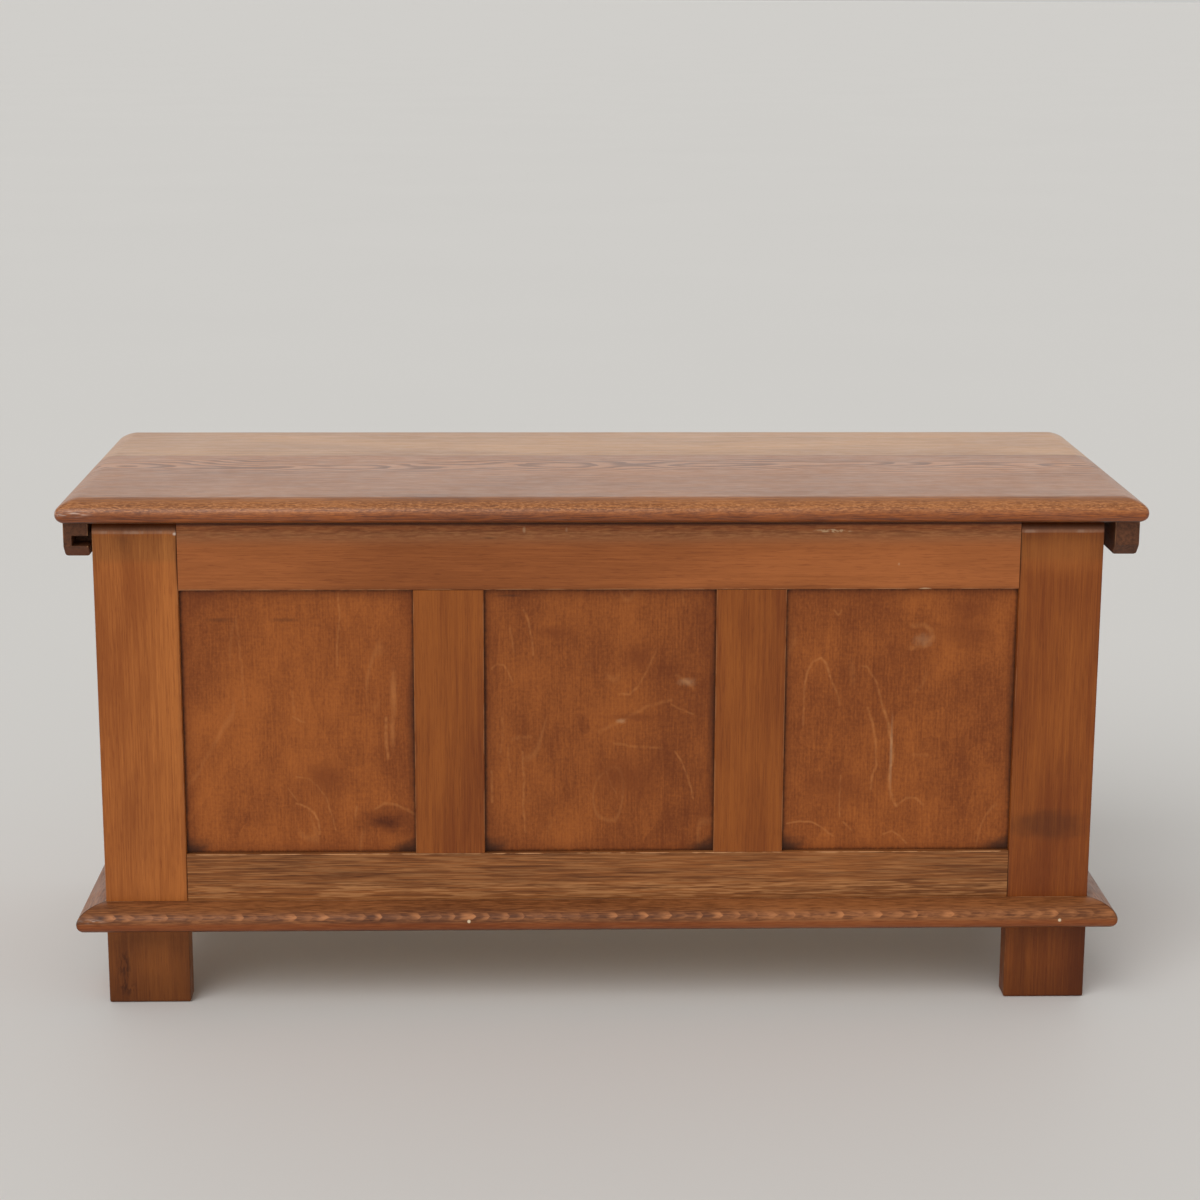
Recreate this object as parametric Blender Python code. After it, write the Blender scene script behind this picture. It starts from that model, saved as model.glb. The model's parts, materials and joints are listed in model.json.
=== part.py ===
"""A low panelled blanket chest.

Four joined frames of stiles, rails, muntins and grooved panels stand on their own stiles
as feet. A plywood bottom lies on battens, a mitred thumbnail moulding runs round the base,
and the lid of two boards, with a cleat under each end, turns on two butt hinges.

Units are metres and +Z is up. The front faces -Y. The origin is on the floor, under the
middle of the chest's outline.
"""

import math
from dataclasses import dataclass

import bmesh
import bpy
from mathutils import Matrix, Vector

# Carcass
CARCASS_WIDTH = 1.000
CARCASS_DEPTH = 0.392
CARCASS_HEIGHT = 0.5017
FOOT_HEIGHT = 0.0825
FRAME_THICKNESS = 0.024

# Fits and cuts
FIT_GAP = 0.0003
CUT_OVERRUN = 0.002
ROOT_DEPTH = 0.004
SAME_PLACE = 0.000001

# Frame members
FRONT_STILE_WIDTH = 0.0828
FRONT_MUNTIN_WIDTH = 0.0698
BACK_STILE_WIDTH = 0.070
BACK_MUNTIN_WIDTH = 0.060
END_STILE_WIDTH = 0.0588
TOP_RAIL_HEIGHT = 0.0698
BOTTOM_RAIL_HEIGHT = 0.0759

# Panels and the grooves that hold them
PANEL_THICKNESS = 0.006
PANEL_RECESS = 0.0065
PANEL_ENTRY = 0.007
PANEL_ROOM = 0.001

# Mortises, tenons and corner tongues
TENON_THICKNESS = 0.008
TENON_LENGTH = 0.036
STUB_TENON_LENGTH = 0.018
TENON_SHOULDER = 0.010
MORTISE_ROOM = 0.0008
TONGUE_THICKNESS = 0.007
TONGUE_LENGTH = 0.008
TONGUE_STOP = 0.030

# Worn and rounded edges of the frames
STILE_TOP_ROUND = 0.011
FOOT_ARRIS = 0.003
STILE_ARRIS = 0.0015
RAIL_ARRIS = 0.0005

# Bottom and the battens under it
BOTTOM_THICKNESS = 0.009
BATTEN_WIDTH = 0.018
BATTEN_HEIGHT = 0.018

# Base moulding
BASE_PROJECTION = 0.0264
BASE_THICKNESS = 0.0269
BASE_UNDER_ROUND = 0.0104

# Lid
LID_THICKNESS = 0.024
LID_FRONT_OVERHANG = 0.022
LID_REAR_BOARD_WIDTH = 0.154
LID_ROLL_WIDTH = 0.022
LID_UNDER_ROUND = 0.0093
LID_CORNER_RADIUS = 0.005
LID_OFFSET = 0.0036

# Cleats under the lid's ends
CLEAT_WIDTH = 0.024
CLEAT_HEIGHT = 0.0367
CLEAT_INSET = 0.0047
CLEAT_CLEARANCE = 0.0073
CLEAT_FRONT_SETBACK = 0.022
CLEAT_BACK_SETBACK = 0.014
CLEAT_CHAMFER = 0.0115
CLEAT_ARRIS = 0.0025
NOTCH_WALL = 0.008
NOTCH_HEIGHT = 0.0103
NOTCH_LENGTH = 0.026
NOTCH_LIP = 0.0005

# Butt hinges
HINGE_LENGTH = 0.076
HINGE_END_DISTANCE = 0.170
KNUCKLE_RADIUS = 0.004
KNUCKLE_COVER = 0.002
PIN_RADIUS = 0.0018
LEAF_THICKNESS = 0.002
LEAF_MARGIN = 0.0025

# Wood screws
HINGE_SCREW_RADIUS = 0.0018
HINGE_SCREW_HEAD_RADIUS = 0.0034
HINGE_SCREW_HEAD_DEPTH = 0.0016
HINGE_SCREW_LENGTH = 0.016
HINGE_SCREW_SPACING = 0.026
CLEAT_SCREW_RADIUS = 0.0022
CLEAT_SCREW_HEAD_RADIUS = 0.0043
CLEAT_SCREW_HEAD_DEPTH = 0.002
CLEAT_SCREW_LENGTH = 0.044
CLEAT_SCREW_BITE = 0.014

# Shares, counts and angles
NOSE_DROP_SHARE = 0.6
UNDER_ROUND_SHARE = 0.97
BASE_ROLL_POWERS = (2, 2)
LID_ROLL_POWERS = (1.5, 2.2)
CLEAT_SCREW_SHARES = (0.3, 0.8)
KNUCKLE_COUNT = 5
LID_OPENING = math.radians(97)
STOP_MARGIN = math.radians(3)
SMOOTH_ANGLE = math.radians(35)
TOP_ROUND_STEPS = 5
ARRIS_STEPS = 2
ROLL_STEPS = 9
UNDER_STEPS = 6
CORNER_STEPS = 3
KNUCKLE_STEPS = 14
SCREW_STEPS = 8

# Worked out from the sizes above
FRONT_REACH = max(BASE_PROJECTION, LID_FRONT_OVERHANG)
FRONT_Y = -(CARCASS_DEPTH - FRONT_REACH) / 2
BACK_Y = FRONT_Y + CARCASS_DEPTH
HALF_WIDTH = CARCASS_WIDTH / 2
TOP_RAIL_FOOT = CARCASS_HEIGHT - TOP_RAIL_HEIGHT
BOTTOM_RAIL_TOP = FOOT_HEIGHT + BOTTOM_RAIL_HEIGHT
GROOVE_DEPTH = PANEL_ENTRY + PANEL_ROOM
SHOULDER = max(TENON_SHOULDER, GROOVE_DEPTH + FIT_GAP * 2)
TENON_SETBACK = (FRAME_THICKNESS - TENON_THICKNESS) / 2
END_FRAME_WIDTH = CARCASS_DEPTH - (FRAME_THICKNESS + FIT_GAP) * 2
INSIDE_X = HALF_WIDTH - FRAME_THICKNESS - FIT_GAP
INSIDE_FRONT = FRONT_Y + FRAME_THICKNESS + FIT_GAP
INSIDE_BACK = BACK_Y - FRAME_THICKNESS - FIT_GAP
HINGE_INSET = KNUCKLE_RADIUS + KNUCKLE_COVER
AXIS = Vector((0, BACK_Y - HINGE_INSET, CARCASS_HEIGHT + FIT_GAP / 2))
LEAF_WIDTH = FRAME_THICKNESS - HINGE_INSET - LEAF_MARGIN
STOP_BEVEL = (LID_OPENING + STOP_MARGIN) / 2
LID_SIDE_OVERHANG = CLEAT_CLEARANCE + CLEAT_WIDTH + CLEAT_INSET
MITRE_TRIM = FIT_GAP / math.sqrt(2)

# Finishes: sRGB colour, roughness, metallic
FINISHES = {
    "stile_oak": ((150, 92, 50), 0.42, 0.0),
    "rail_oak": ((140, 84, 46), 0.42, 0.0),
    "panel_plywood": ((140, 75, 38), 0.38, 0.0),
    "end_oak": ((138, 82, 46), 0.45, 0.0),
    "back_oak": ((126, 84, 54), 0.60, 0.0),
    "bottom_plywood": ((178, 138, 96), 0.70, 0.0),
    "batten_pine": ((170, 128, 84), 0.75, 0.0),
    "base_oak": ((115, 65, 38), 0.40, 0.0),
    "lid_front_oak": ((150, 106, 78), 0.36, 0.0),
    "lid_rear_oak": ((176, 130, 92), 0.36, 0.0),
    "cleat_oak": ((72, 46, 32), 0.55, 0.0),
    "hinge_brass": ((150, 122, 66), 0.38, 1.0),
    "screw_steel": ((120, 116, 110), 0.42, 1.0),
}


def linear_channel(value):
    """A Principled colour value for one 8-bit sRGB value."""
    share = value / 255
    return share / 12.92 if share <= 0.04045 else ((share + 0.055) / 1.055) ** 2.4


def make_material(name):
    colour, roughness, metallic = FINISHES[name]
    material = bpy.data.materials.new(name)
    material.use_nodes = True
    shader = material.node_tree.nodes["Principled BSDF"]
    shader.inputs["Base Color"].default_value = (*map(linear_channel, colour), 1)
    shader.inputs["Roughness"].default_value = roughness
    shader.inputs["Metallic"].default_value = metallic
    material.diffuse_color = shader.inputs["Base Color"].default_value
    return material


def add_empty(name, parent=None, place=(0, 0, 0), turn=0):
    empty = bpy.data.objects.new(name, None)
    empty.location = place
    empty.rotation_euler = (0, 0, turn)
    empty.parent = parent
    bpy.context.scene.collection.objects.link(empty)
    return empty


def add_piece(name, shape, place, parent, finish, smooth=False):
    """Turns a bmesh into a named object, placed in its parent's frame."""
    mesh = bpy.data.meshes.new(name)
    shape.to_mesh(mesh)
    shape.free()
    if smooth:
        mesh.shade_smooth()
        mesh.set_sharp_from_angle(angle=SMOOTH_ANGLE)
    piece = bpy.data.objects.new(name, mesh)
    piece.location = place
    piece.parent = parent
    if finish:
        mesh.materials.append(bpy.data.materials.get(finish) or make_material(finish))
        bpy.context.scene.collection.objects.link(piece)
    return piece


def add_tool(name, shape, place, parent):
    """A shape that only cuts or extends other pieces, kept in a collection of its own."""
    tool = add_piece(name, shape, place, parent, None)
    tool.hide_render = True
    tool.display_type = "WIRE"
    tools = bpy.data.collections.get("tools") or bpy.data.collections.new("tools")
    if tools.name not in bpy.context.scene.collection.children:
        bpy.context.scene.collection.children.link(tools)
        tools.hide_render = True
    tools.objects.link(tool)
    return tool


def combine(piece, tool, operation):
    modifier = piece.modifiers.new(tool.name, "BOOLEAN")
    modifier.operation = operation
    modifier.solver = "EXACT"
    modifier.object = tool


def box(low, high):
    """A box mesh round its own middle, and the place of that middle."""
    low = Vector(low)
    high = Vector(high)
    shape = bmesh.new()
    bmesh.ops.create_cube(shape, size=1, matrix=Matrix.Diagonal((*(high - low), 1)))
    return shape, (low + high) / 2


def spread(first, second):
    """The same two corners, ordered as lowest and highest."""
    return tuple(map(min, first, second)), tuple(map(max, first, second))


def combine_box(piece, first, second, operation):
    shape, place = box(*spread(first, second))
    tool = add_tool(f"{piece.name}_tool_{len(piece.modifiers)}", shape, place, piece.parent)
    combine(piece, tool, operation)


def cut_box(piece, first, second):
    combine_box(piece, first, second, "DIFFERENCE")


def grow_box(piece, first, second):
    combine_box(piece, first, second, "UNION")


def loft(rings):
    """A closed skin through rings of as many points each, capped at both ends."""
    shape = bmesh.new()
    rows = [[shape.verts.new(point) for point in ring] for ring in rings]
    for lower, upper in zip(rows, rows[1:]):
        for index in range(len(lower)):
            following = (index + 1) % len(lower)
            shape.faces.new((lower[index], lower[following], upper[following], upper[index]))
    shape.faces.new(reversed(rows[0]))
    shape.faces.new(rows[-1])
    bmesh.ops.recalc_face_normals(shape, faces=shape.faces)
    return shape


def extrude_along_x(outline, first, second):
    """A prism whose outline, in Y and Z, runs from one X to another."""
    return loft([[(x, y, z) for y, z in outline] for x in (first, second)])


def turned(profile, steps):
    """A solid turned about Z from a profile of (radius, height) that starts and ends on Z."""
    shape = bmesh.new()
    points = [shape.verts.new((radius, 0, height)) for radius, height in profile]
    edges = [shape.edges.new(pair) for pair in zip(points, points[1:])]
    bmesh.ops.spin(
        shape,
        geom=points + edges,
        axis=(0, 0, 1),
        cent=(0, 0, 0),
        angle=math.tau,
        steps=steps,
        use_merge=True,
    )
    bmesh.ops.remove_doubles(shape, verts=shape.verts, dist=SAME_PLACE)
    bmesh.ops.recalc_face_normals(shape, faces=shape.faces)
    return shape


def group_of(shape, places):
    """One bmesh that holds a copy of a shape at each place, and the shape is freed."""
    mesh = bpy.data.meshes.new("copied_shape")
    shape.to_mesh(mesh)
    shape.free()
    group = bmesh.new()
    for place in places:
        first = len(group.verts)
        group.from_mesh(mesh)
        group.verts.ensure_lookup_table()
        bmesh.ops.transform(group, matrix=place, verts=group.verts[first:])
    bpy.data.meshes.remove(mesh)
    return group


def edges_where(shape, test):
    return [edge for edge in shape.edges if all(test(vertex.co) for vertex in edge.verts)]


def same(first, second):
    return abs(first - second) < SAME_PLACE


def ease(shape, edges, width, steps=1):
    bmesh.ops.bevel(
        shape,
        geom=edges,
        offset=width,
        offset_type="OFFSET",
        segments=steps,
        profile=0.5,
        affect="EDGES",
        clamp_overlap=True,
    )


@dataclass
class Frame:
    """One joined frame, in its own coordinates: X across, Y inwards from its face, Z up."""

    parent: bpy.types.Object
    width: float
    stile_width: float
    muntin_width: float
    stiles: tuple
    rails: tuple
    muntins: tuple
    panels: tuple
    stile_finish: str
    rail_finish: str
    panel_finish: str
    rounded_tops: bool = False
    has_tongues: bool = False

    @property
    def opening(self):
        """Width between two neighbouring uprights."""
        between_stiles = self.width - self.stile_width * 2
        return (between_stiles - self.muntin_width * len(self.muntins)) / len(self.panels)

    def opening_start(self, index):
        """X of the left side of an opening, counted from the frame's own left."""
        pitch = self.opening + self.muntin_width
        return -self.width / 2 + self.stile_width + pitch * index


def ease_stile(shape, frame):
    """Rounds the top front edge where the frame has that, the foot, and the front arrises."""
    half = Vector((frame.stile_width, FRAME_THICKNESS, CARCASS_HEIGHT)) / 2
    if frame.rounded_tops:
        top = edges_where(shape, lambda p: same(p.y, -half.y) and same(p.z, half.z))
        ease(shape, top, STILE_TOP_ROUND, TOP_ROUND_STEPS)
    foot = edges_where(shape, lambda p: same(p.z, -half.z))
    ease(shape, foot, FOOT_ARRIS, ARRIS_STEPS)
    for side in (-1, 1):
        upright = edges_where(shape, lambda p: same(p.x, side * half.x) and p.y < half.y - SAME_PLACE)
        ease(shape, upright, STILE_ARRIS, ARRIS_STEPS)


def cut_rail_joints(stile, frame, side):
    """The panel groove and the two mortises in a stile's inner edge."""
    edge = side * (frame.width / 2 - frame.stile_width)
    past_edge = edge - side * CUT_OVERRUN
    cut_box(
        stile,
        (past_edge, PANEL_RECESS - FIT_GAP, BOTTOM_RAIL_TOP - GROOVE_DEPTH),
        (
            edge + side * GROOVE_DEPTH,
            PANEL_RECESS + PANEL_THICKNESS + FIT_GAP,
            TOP_RAIL_FOOT + GROOVE_DEPTH,
        ),
    )
    for low, high in ((FOOT_HEIGHT, BOTTOM_RAIL_TOP), (TOP_RAIL_FOOT, CARCASS_HEIGHT)):
        cut_box(
            stile,
            (past_edge, TENON_SETBACK - FIT_GAP, low + SHOULDER - FIT_GAP),
            (
                edge + side * (TENON_LENGTH + MORTISE_ROOM),
                TENON_SETBACK + TENON_THICKNESS + FIT_GAP,
                high - SHOULDER + FIT_GAP,
            ),
        )


def add_stile(frame, side):
    """An upright that runs to the floor as a foot. side is -1 for the frame's left, 1 for its right."""
    outer = side * frame.width / 2
    inner = outer - side * frame.stile_width
    shape, place = box(*spread((outer, 0, 0), (inner, FRAME_THICKNESS, CARCASS_HEIGHT)))
    ease_stile(shape, frame)
    name = frame.stiles[0 if side < 0 else 1]
    stile = add_piece(name, shape, place, frame.parent, frame.stile_finish)
    cut_rail_joints(stile, frame, side)
    tongue_back = (FRAME_THICKNESS - TONGUE_THICKNESS) / 2
    if frame.has_tongues:
        grow_box(
            stile,
            (outer - side * ROOT_DEPTH, tongue_back, FOOT_HEIGHT),
            (
                outer + side * (FIT_GAP + TONGUE_LENGTH),
                tongue_back + TONGUE_THICKNESS,
                CARCASS_HEIGHT - TONGUE_STOP,
            ),
        )
    else:
        cut_box(
            stile,
            (
                outer - side * (tongue_back - FIT_GAP),
                FRAME_THICKNESS - TONGUE_LENGTH - FIT_GAP,
                FOOT_HEIGHT - FIT_GAP,
            ),
            (
                outer - side * (tongue_back + TONGUE_THICKNESS + FIT_GAP),
                FRAME_THICKNESS + CUT_OVERRUN,
                CARCASS_HEIGHT - TONGUE_STOP + FIT_GAP,
            ),
        )
    return stile


def add_rail(frame, name, low, high, inner_side):
    """A rail between the stiles. inner_side is 1 where its panel edge is its top, else -1."""
    half = frame.width / 2 - frame.stile_width - FIT_GAP
    shape, place = box((-half, 0, low), (half, FRAME_THICKNESS, high))
    front = edges_where(shape, lambda p: same(p.y, -FRAME_THICKNESS / 2))
    ease(shape, [edge for edge in front if same(*(v.co.z for v in edge.verts))], RAIL_ARRIS)
    rail = add_piece(name, shape, place, frame.parent, frame.rail_finish)
    for side in (-1, 1):
        grow_box(
            rail,
            (side * (half - ROOT_DEPTH), TENON_SETBACK, low + SHOULDER),
            (
                side * (half + FIT_GAP + TENON_LENGTH),
                TENON_SETBACK + TENON_THICKNESS,
                high - SHOULDER,
            ),
        )
    edge = high if inner_side > 0 else low
    past_edge = edge + inner_side * CUT_OVERRUN
    cut_box(
        rail,
        (-half - CUT_OVERRUN, PANEL_RECESS - FIT_GAP, past_edge),
        (
            half + CUT_OVERRUN,
            PANEL_RECESS + PANEL_THICKNESS + FIT_GAP,
            edge - inner_side * GROOVE_DEPTH,
        ),
    )
    for index in range(len(frame.muntins)):
        start = frame.opening_start(index) + frame.opening
        cut_box(
            rail,
            (start + SHOULDER - FIT_GAP, TENON_SETBACK - FIT_GAP, past_edge),
            (
                start + frame.muntin_width - SHOULDER + FIT_GAP,
                TENON_SETBACK + TENON_THICKNESS + FIT_GAP,
                edge - inner_side * (STUB_TENON_LENGTH + MORTISE_ROOM),
            ),
        )
    return rail


def add_muntin(frame, index):
    """A short upright between two panels, with a stub tenon at each end."""
    start = frame.opening_start(index) + frame.opening
    end = start + frame.muntin_width
    low = BOTTOM_RAIL_TOP + FIT_GAP
    high = TOP_RAIL_FOOT - FIT_GAP
    shape, place = box((start, 0, low), (end, FRAME_THICKNESS, high))
    front = edges_where(shape, lambda p: same(p.y, -FRAME_THICKNESS / 2))
    ease(shape, [edge for edge in front if same(*(v.co.x for v in edge.verts))], RAIL_ARRIS)
    muntin = add_piece(frame.muntins[index], shape, place, frame.parent, frame.stile_finish)
    for level, side in ((low, -1), (high, 1)):
        grow_box(
            muntin,
            (start + SHOULDER, TENON_SETBACK, level - side * ROOT_DEPTH),
            (
                end - SHOULDER,
                TENON_SETBACK + TENON_THICKNESS,
                level + side * (FIT_GAP + STUB_TENON_LENGTH),
            ),
        )
    for edge, side in ((start, -1), (end, 1)):
        cut_box(
            muntin,
            (edge + side * CUT_OVERRUN, PANEL_RECESS - FIT_GAP, low - CUT_OVERRUN),
            (
                edge - side * GROOVE_DEPTH,
                PANEL_RECESS + PANEL_THICKNESS + FIT_GAP,
                high + CUT_OVERRUN,
            ),
        )


def add_panel(frame, index):
    start = frame.opening_start(index)
    shape, place = box(
        (start - PANEL_ENTRY, PANEL_RECESS, BOTTOM_RAIL_TOP - PANEL_ENTRY),
        (
            start + frame.opening + PANEL_ENTRY,
            PANEL_RECESS + PANEL_THICKNESS,
            TOP_RAIL_FOOT + PANEL_ENTRY,
        ),
    )
    add_piece(frame.panels[index], shape, place, frame.parent, frame.panel_finish)


def build_frame(frame):
    """All members of one frame. Gives its two stiles and its two rails."""
    stiles = [add_stile(frame, side) for side in (-1, 1)]
    top_name, bottom_name = frame.rails
    rails = [
        add_rail(frame, top_name, TOP_RAIL_FOOT, CARCASS_HEIGHT, -1),
        add_rail(frame, bottom_name, FOOT_HEIGHT, BOTTOM_RAIL_TOP, 1),
    ]
    for index in range(len(frame.muntins)):
        add_muntin(frame, index)
    for index in range(len(frame.panels)):
        add_panel(frame, index)
    return stiles, rails


def front_frame(carcass):
    return Frame(
        parent=add_empty("front_frame", carcass, (0, FRONT_Y, 0)),
        width=CARCASS_WIDTH,
        stile_width=FRONT_STILE_WIDTH,
        muntin_width=FRONT_MUNTIN_WIDTH,
        stiles=("front_stile_left", "front_stile_right"),
        rails=("front_top_rail", "front_bottom_rail"),
        muntins=("front_muntin_left", "front_muntin_right"),
        panels=("front_panel_left", "front_panel_centre", "front_panel_right"),
        stile_finish="stile_oak",
        rail_finish="rail_oak",
        panel_finish="panel_plywood",
        rounded_tops=True,
    )


def back_frame(carcass):
    """The back frame faces away from the front, so its own left is the chest's right."""
    return Frame(
        parent=add_empty("back_frame", carcass, (0, BACK_Y, 0), math.pi),
        width=CARCASS_WIDTH,
        stile_width=BACK_STILE_WIDTH,
        muntin_width=BACK_MUNTIN_WIDTH,
        stiles=("back_stile_right", "back_stile_left"),
        rails=("back_top_rail", "back_bottom_rail"),
        muntins=("back_muntin",),
        panels=("back_panel_right", "back_panel_left"),
        stile_finish="back_oak",
        rail_finish="back_oak",
        panel_finish="panel_plywood",
    )


def end_frame(carcass, side):
    """An end frame stands between the front and the back frame. side is -1 for the left end."""
    word = "left" if side < 0 else "right"
    place = (side * HALF_WIDTH, (FRONT_Y + BACK_Y) / 2, 0)
    near = f"{word}_end_front_stile"
    far = f"{word}_end_rear_stile"
    return Frame(
        parent=add_empty(f"{word}_end_frame", carcass, place, side * math.pi / 2),
        width=END_FRAME_WIDTH,
        stile_width=END_STILE_WIDTH,
        muntin_width=0,
        stiles=(far, near) if side < 0 else (near, far),
        rails=(f"{word}_end_top_rail", f"{word}_end_bottom_rail"),
        muntins=(),
        panels=(f"{word}_end_panel",),
        stile_finish="end_oak",
        rail_finish="end_oak",
        panel_finish="panel_plywood",
        has_tongues=True,
    )


def add_bottom(carcass):
    """One sheet that lies on the battens, inside the four frames."""
    low = FOOT_HEIGHT + BATTEN_HEIGHT + FIT_GAP
    shape, place = box(
        (-INSIDE_X, INSIDE_FRONT, low),
        (INSIDE_X, INSIDE_BACK, low + BOTTOM_THICKNESS),
    )
    add_piece("bottom_panel", shape, place, carcass, "bottom_plywood")


def add_battens(carcass):
    """Square strips on the rails' inner faces that carry the bottom."""
    low = FOOT_HEIGHT
    high = FOOT_HEIGHT + BATTEN_HEIGHT
    side_front = INSIDE_FRONT + BATTEN_WIDTH + FIT_GAP
    side_back = INSIDE_BACK - BATTEN_WIDTH - FIT_GAP
    corners = {
        "bottom_batten_front": (
            (-INSIDE_X, INSIDE_FRONT, low),
            (INSIDE_X, INSIDE_FRONT + BATTEN_WIDTH, high),
        ),
        "bottom_batten_rear": (
            (-INSIDE_X, INSIDE_BACK - BATTEN_WIDTH, low),
            (INSIDE_X, INSIDE_BACK, high),
        ),
        "bottom_batten_left": (
            (-INSIDE_X, side_front, low),
            (-INSIDE_X + BATTEN_WIDTH, side_back, high),
        ),
        "bottom_batten_right": (
            (INSIDE_X - BATTEN_WIDTH, side_front, low),
            (INSIDE_X, side_back, high),
        ),
    }
    for name, (first, second) in corners.items():
        shape, place = box(first, second)
        add_piece(name, shape, place, carcass, "batten_pine")


@dataclass
class Screw:
    """A countersunk wood screw. Its head lies at its place, and its shank runs along -Z there."""

    radius: float
    head_radius: float
    head_depth: float
    length: float

    def solid(self):
        shank_end = -self.length + self.radius
        return turned(
            [
                (0, 0),
                (self.head_radius, 0),
                (self.radius, -self.head_depth),
                (self.radius, shank_end),
                (0, -self.length),
            ],
            SCREW_STEPS,
        )

    def hole(self, lead):
        """The space that the screw needs, open for a length above its head."""
        head = self.head_radius + FIT_GAP
        shank = self.radius + FIT_GAP
        return turned(
            [
                (0, lead),
                (head, lead),
                (head, -FIT_GAP),
                (shank, -self.head_depth - FIT_GAP),
                (shank, -self.length - FIT_GAP),
                (0, -self.length - FIT_GAP),
            ],
            SCREW_STEPS,
        )


def add_screws(name, screw, places, parent, through, lead=CUT_OVERRUN):
    """Like screws in a row, and their holes in each of the pieces that they go through."""
    for number, place in enumerate(places, 1):
        piece = add_piece(
            f"{name}_{number}", screw.solid(), (0, 0, 0), parent, "screw_steel", smooth=True
        )
        piece.matrix_local = place
    tool = add_tool(f"{name}_holes", group_of(screw.hole(lead), places), (0, 0, 0), parent)
    for piece in through:
        combine(piece, tool, "DIFFERENCE")


def facing(place, direction):
    """The matrix of a screw or pin whose head is at a place and whose point looks along a direction."""
    turn = Vector((0, 0, -1)).rotation_difference(Vector(direction))
    return Matrix.Translation(place) @ turn.to_matrix().to_4x4()


def thumbnail(depth, thickness, roll_width, under_round, powers):
    """A thumbnail edge, from its top to its underside, as (distance from the back, height).

    The powers are those of the roll's curve at its top and at its nose: 2 and 2 make an ellipse.
    """
    drop = thickness * NOSE_DROP_SHARE
    under_round = min(under_round, (thickness - drop) * UNDER_ROUND_SHARE)
    top_power, nose_power = powers
    outline = []
    for step in range(ROLL_STEPS + 1):
        angle = math.pi / 2 * step / ROLL_STEPS
        out = math.sin(angle) ** (2 / top_power)
        up = max(0, math.cos(angle)) ** (2 / nose_power)
        outline.append((depth - roll_width + roll_width * out, thickness - drop + drop * up))
    for step in range(UNDER_STEPS + 1):
        angle = math.pi / 2 * step / UNDER_STEPS
        outline.append(
            (
                depth - under_round + under_round * math.cos(angle),
                under_round - under_round * math.sin(angle),
            )
        )
    return outline


def add_base_mouldings(carcass):
    """The thumbnail moulding on the front and both ends, mitred at the front corners."""
    depth = BASE_PROJECTION - FIT_GAP
    outline = thumbnail(depth, BASE_THICKNESS, depth, BASE_UNDER_ROUND, BASE_ROLL_POWERS)
    outline.append((0, 0))
    rings = []
    for side in (-1, 1):
        mitre = [
            (
                side * (HALF_WIDTH + FIT_GAP + out - MITRE_TRIM),
                FRONT_Y - FIT_GAP - out,
                FOOT_HEIGHT + up,
            )
            for out, up in outline
        ]
        rings.append(mitre)
    add_piece("base_moulding_front", loft(rings), (0, 0, 0), carcass, "base_oak", smooth=True)
    for side, word in ((-1, "left"), (1, "right")):
        mitre = []
        square = []
        for out, up in outline:
            x = side * (HALF_WIDTH + FIT_GAP + out)
            mitre.append((x, FRONT_Y - FIT_GAP - out + MITRE_TRIM, FOOT_HEIGHT + up))
            square.append((x, BACK_Y, FOOT_HEIGHT + up))
        name = f"base_moulding_{word}"
        add_piece(name, loft([mitre, square]), (0, 0, 0), carcass, "base_oak", smooth=True)


def lid_ring(inset, height, front, back):
    """One level of a lid board: its ends and front drawn in by the inset, its corners rounded."""
    half = HALF_WIDTH + LID_SIDE_OVERHANG - inset
    front = front + inset
    centre = half - LID_CORNER_RADIUS
    ring = [(LID_OFFSET - half, back, height)]
    for side, start in ((-1, math.pi), (1, math.pi * 1.5)):
        for step in range(CORNER_STEPS + 1):
            angle = start + math.pi / 2 * step / CORNER_STEPS
            ring.append(
                (
                    LID_OFFSET + side * centre + LID_CORNER_RADIUS * math.cos(angle),
                    front + LID_CORNER_RADIUS * (1 + math.sin(angle)),
                    height,
                )
            )
    ring.append((LID_OFFSET + half, back, height))
    return ring


def square_ring(inset, height, front, back):
    """One level of the rear lid board, whose ends alone are drawn in."""
    half = HALF_WIDTH + LID_SIDE_OVERHANG - inset
    left, right = LID_OFFSET - half, LID_OFFSET + half
    return [(left, back, height), (left, front, height), (right, front, height), (right, back, height)]


def add_lid_boards(lid):
    """The two boards, in the frame of the hinge axis."""
    underside = FIT_GAP / 2
    back = HINGE_INSET
    joint = back - LID_REAR_BOARD_WIDTH
    front = back - CARCASS_DEPTH - LID_FRONT_OVERHANG
    outline = thumbnail(
        LID_ROLL_WIDTH, LID_THICKNESS, LID_ROLL_WIDTH, LID_UNDER_ROUND, LID_ROLL_POWERS
    )
    levels = [(LID_ROLL_WIDTH - out, underside + up) for out, up in reversed(outline)]
    front_rings = [lid_ring(inset, height, front, joint - FIT_GAP) for inset, height in levels]
    rear_rings = [square_ring(inset, height, joint, back) for inset, height in levels]
    names = ("lid_front_board", "lid_rear_board")
    finishes = ("lid_front_oak", "lid_rear_oak")
    return [
        add_piece(name, loft(rings), (0, 0, 0), lid, finish, smooth=True)
        for name, rings, finish in zip(names, (front_rings, rear_rings), finishes)
    ]


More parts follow.
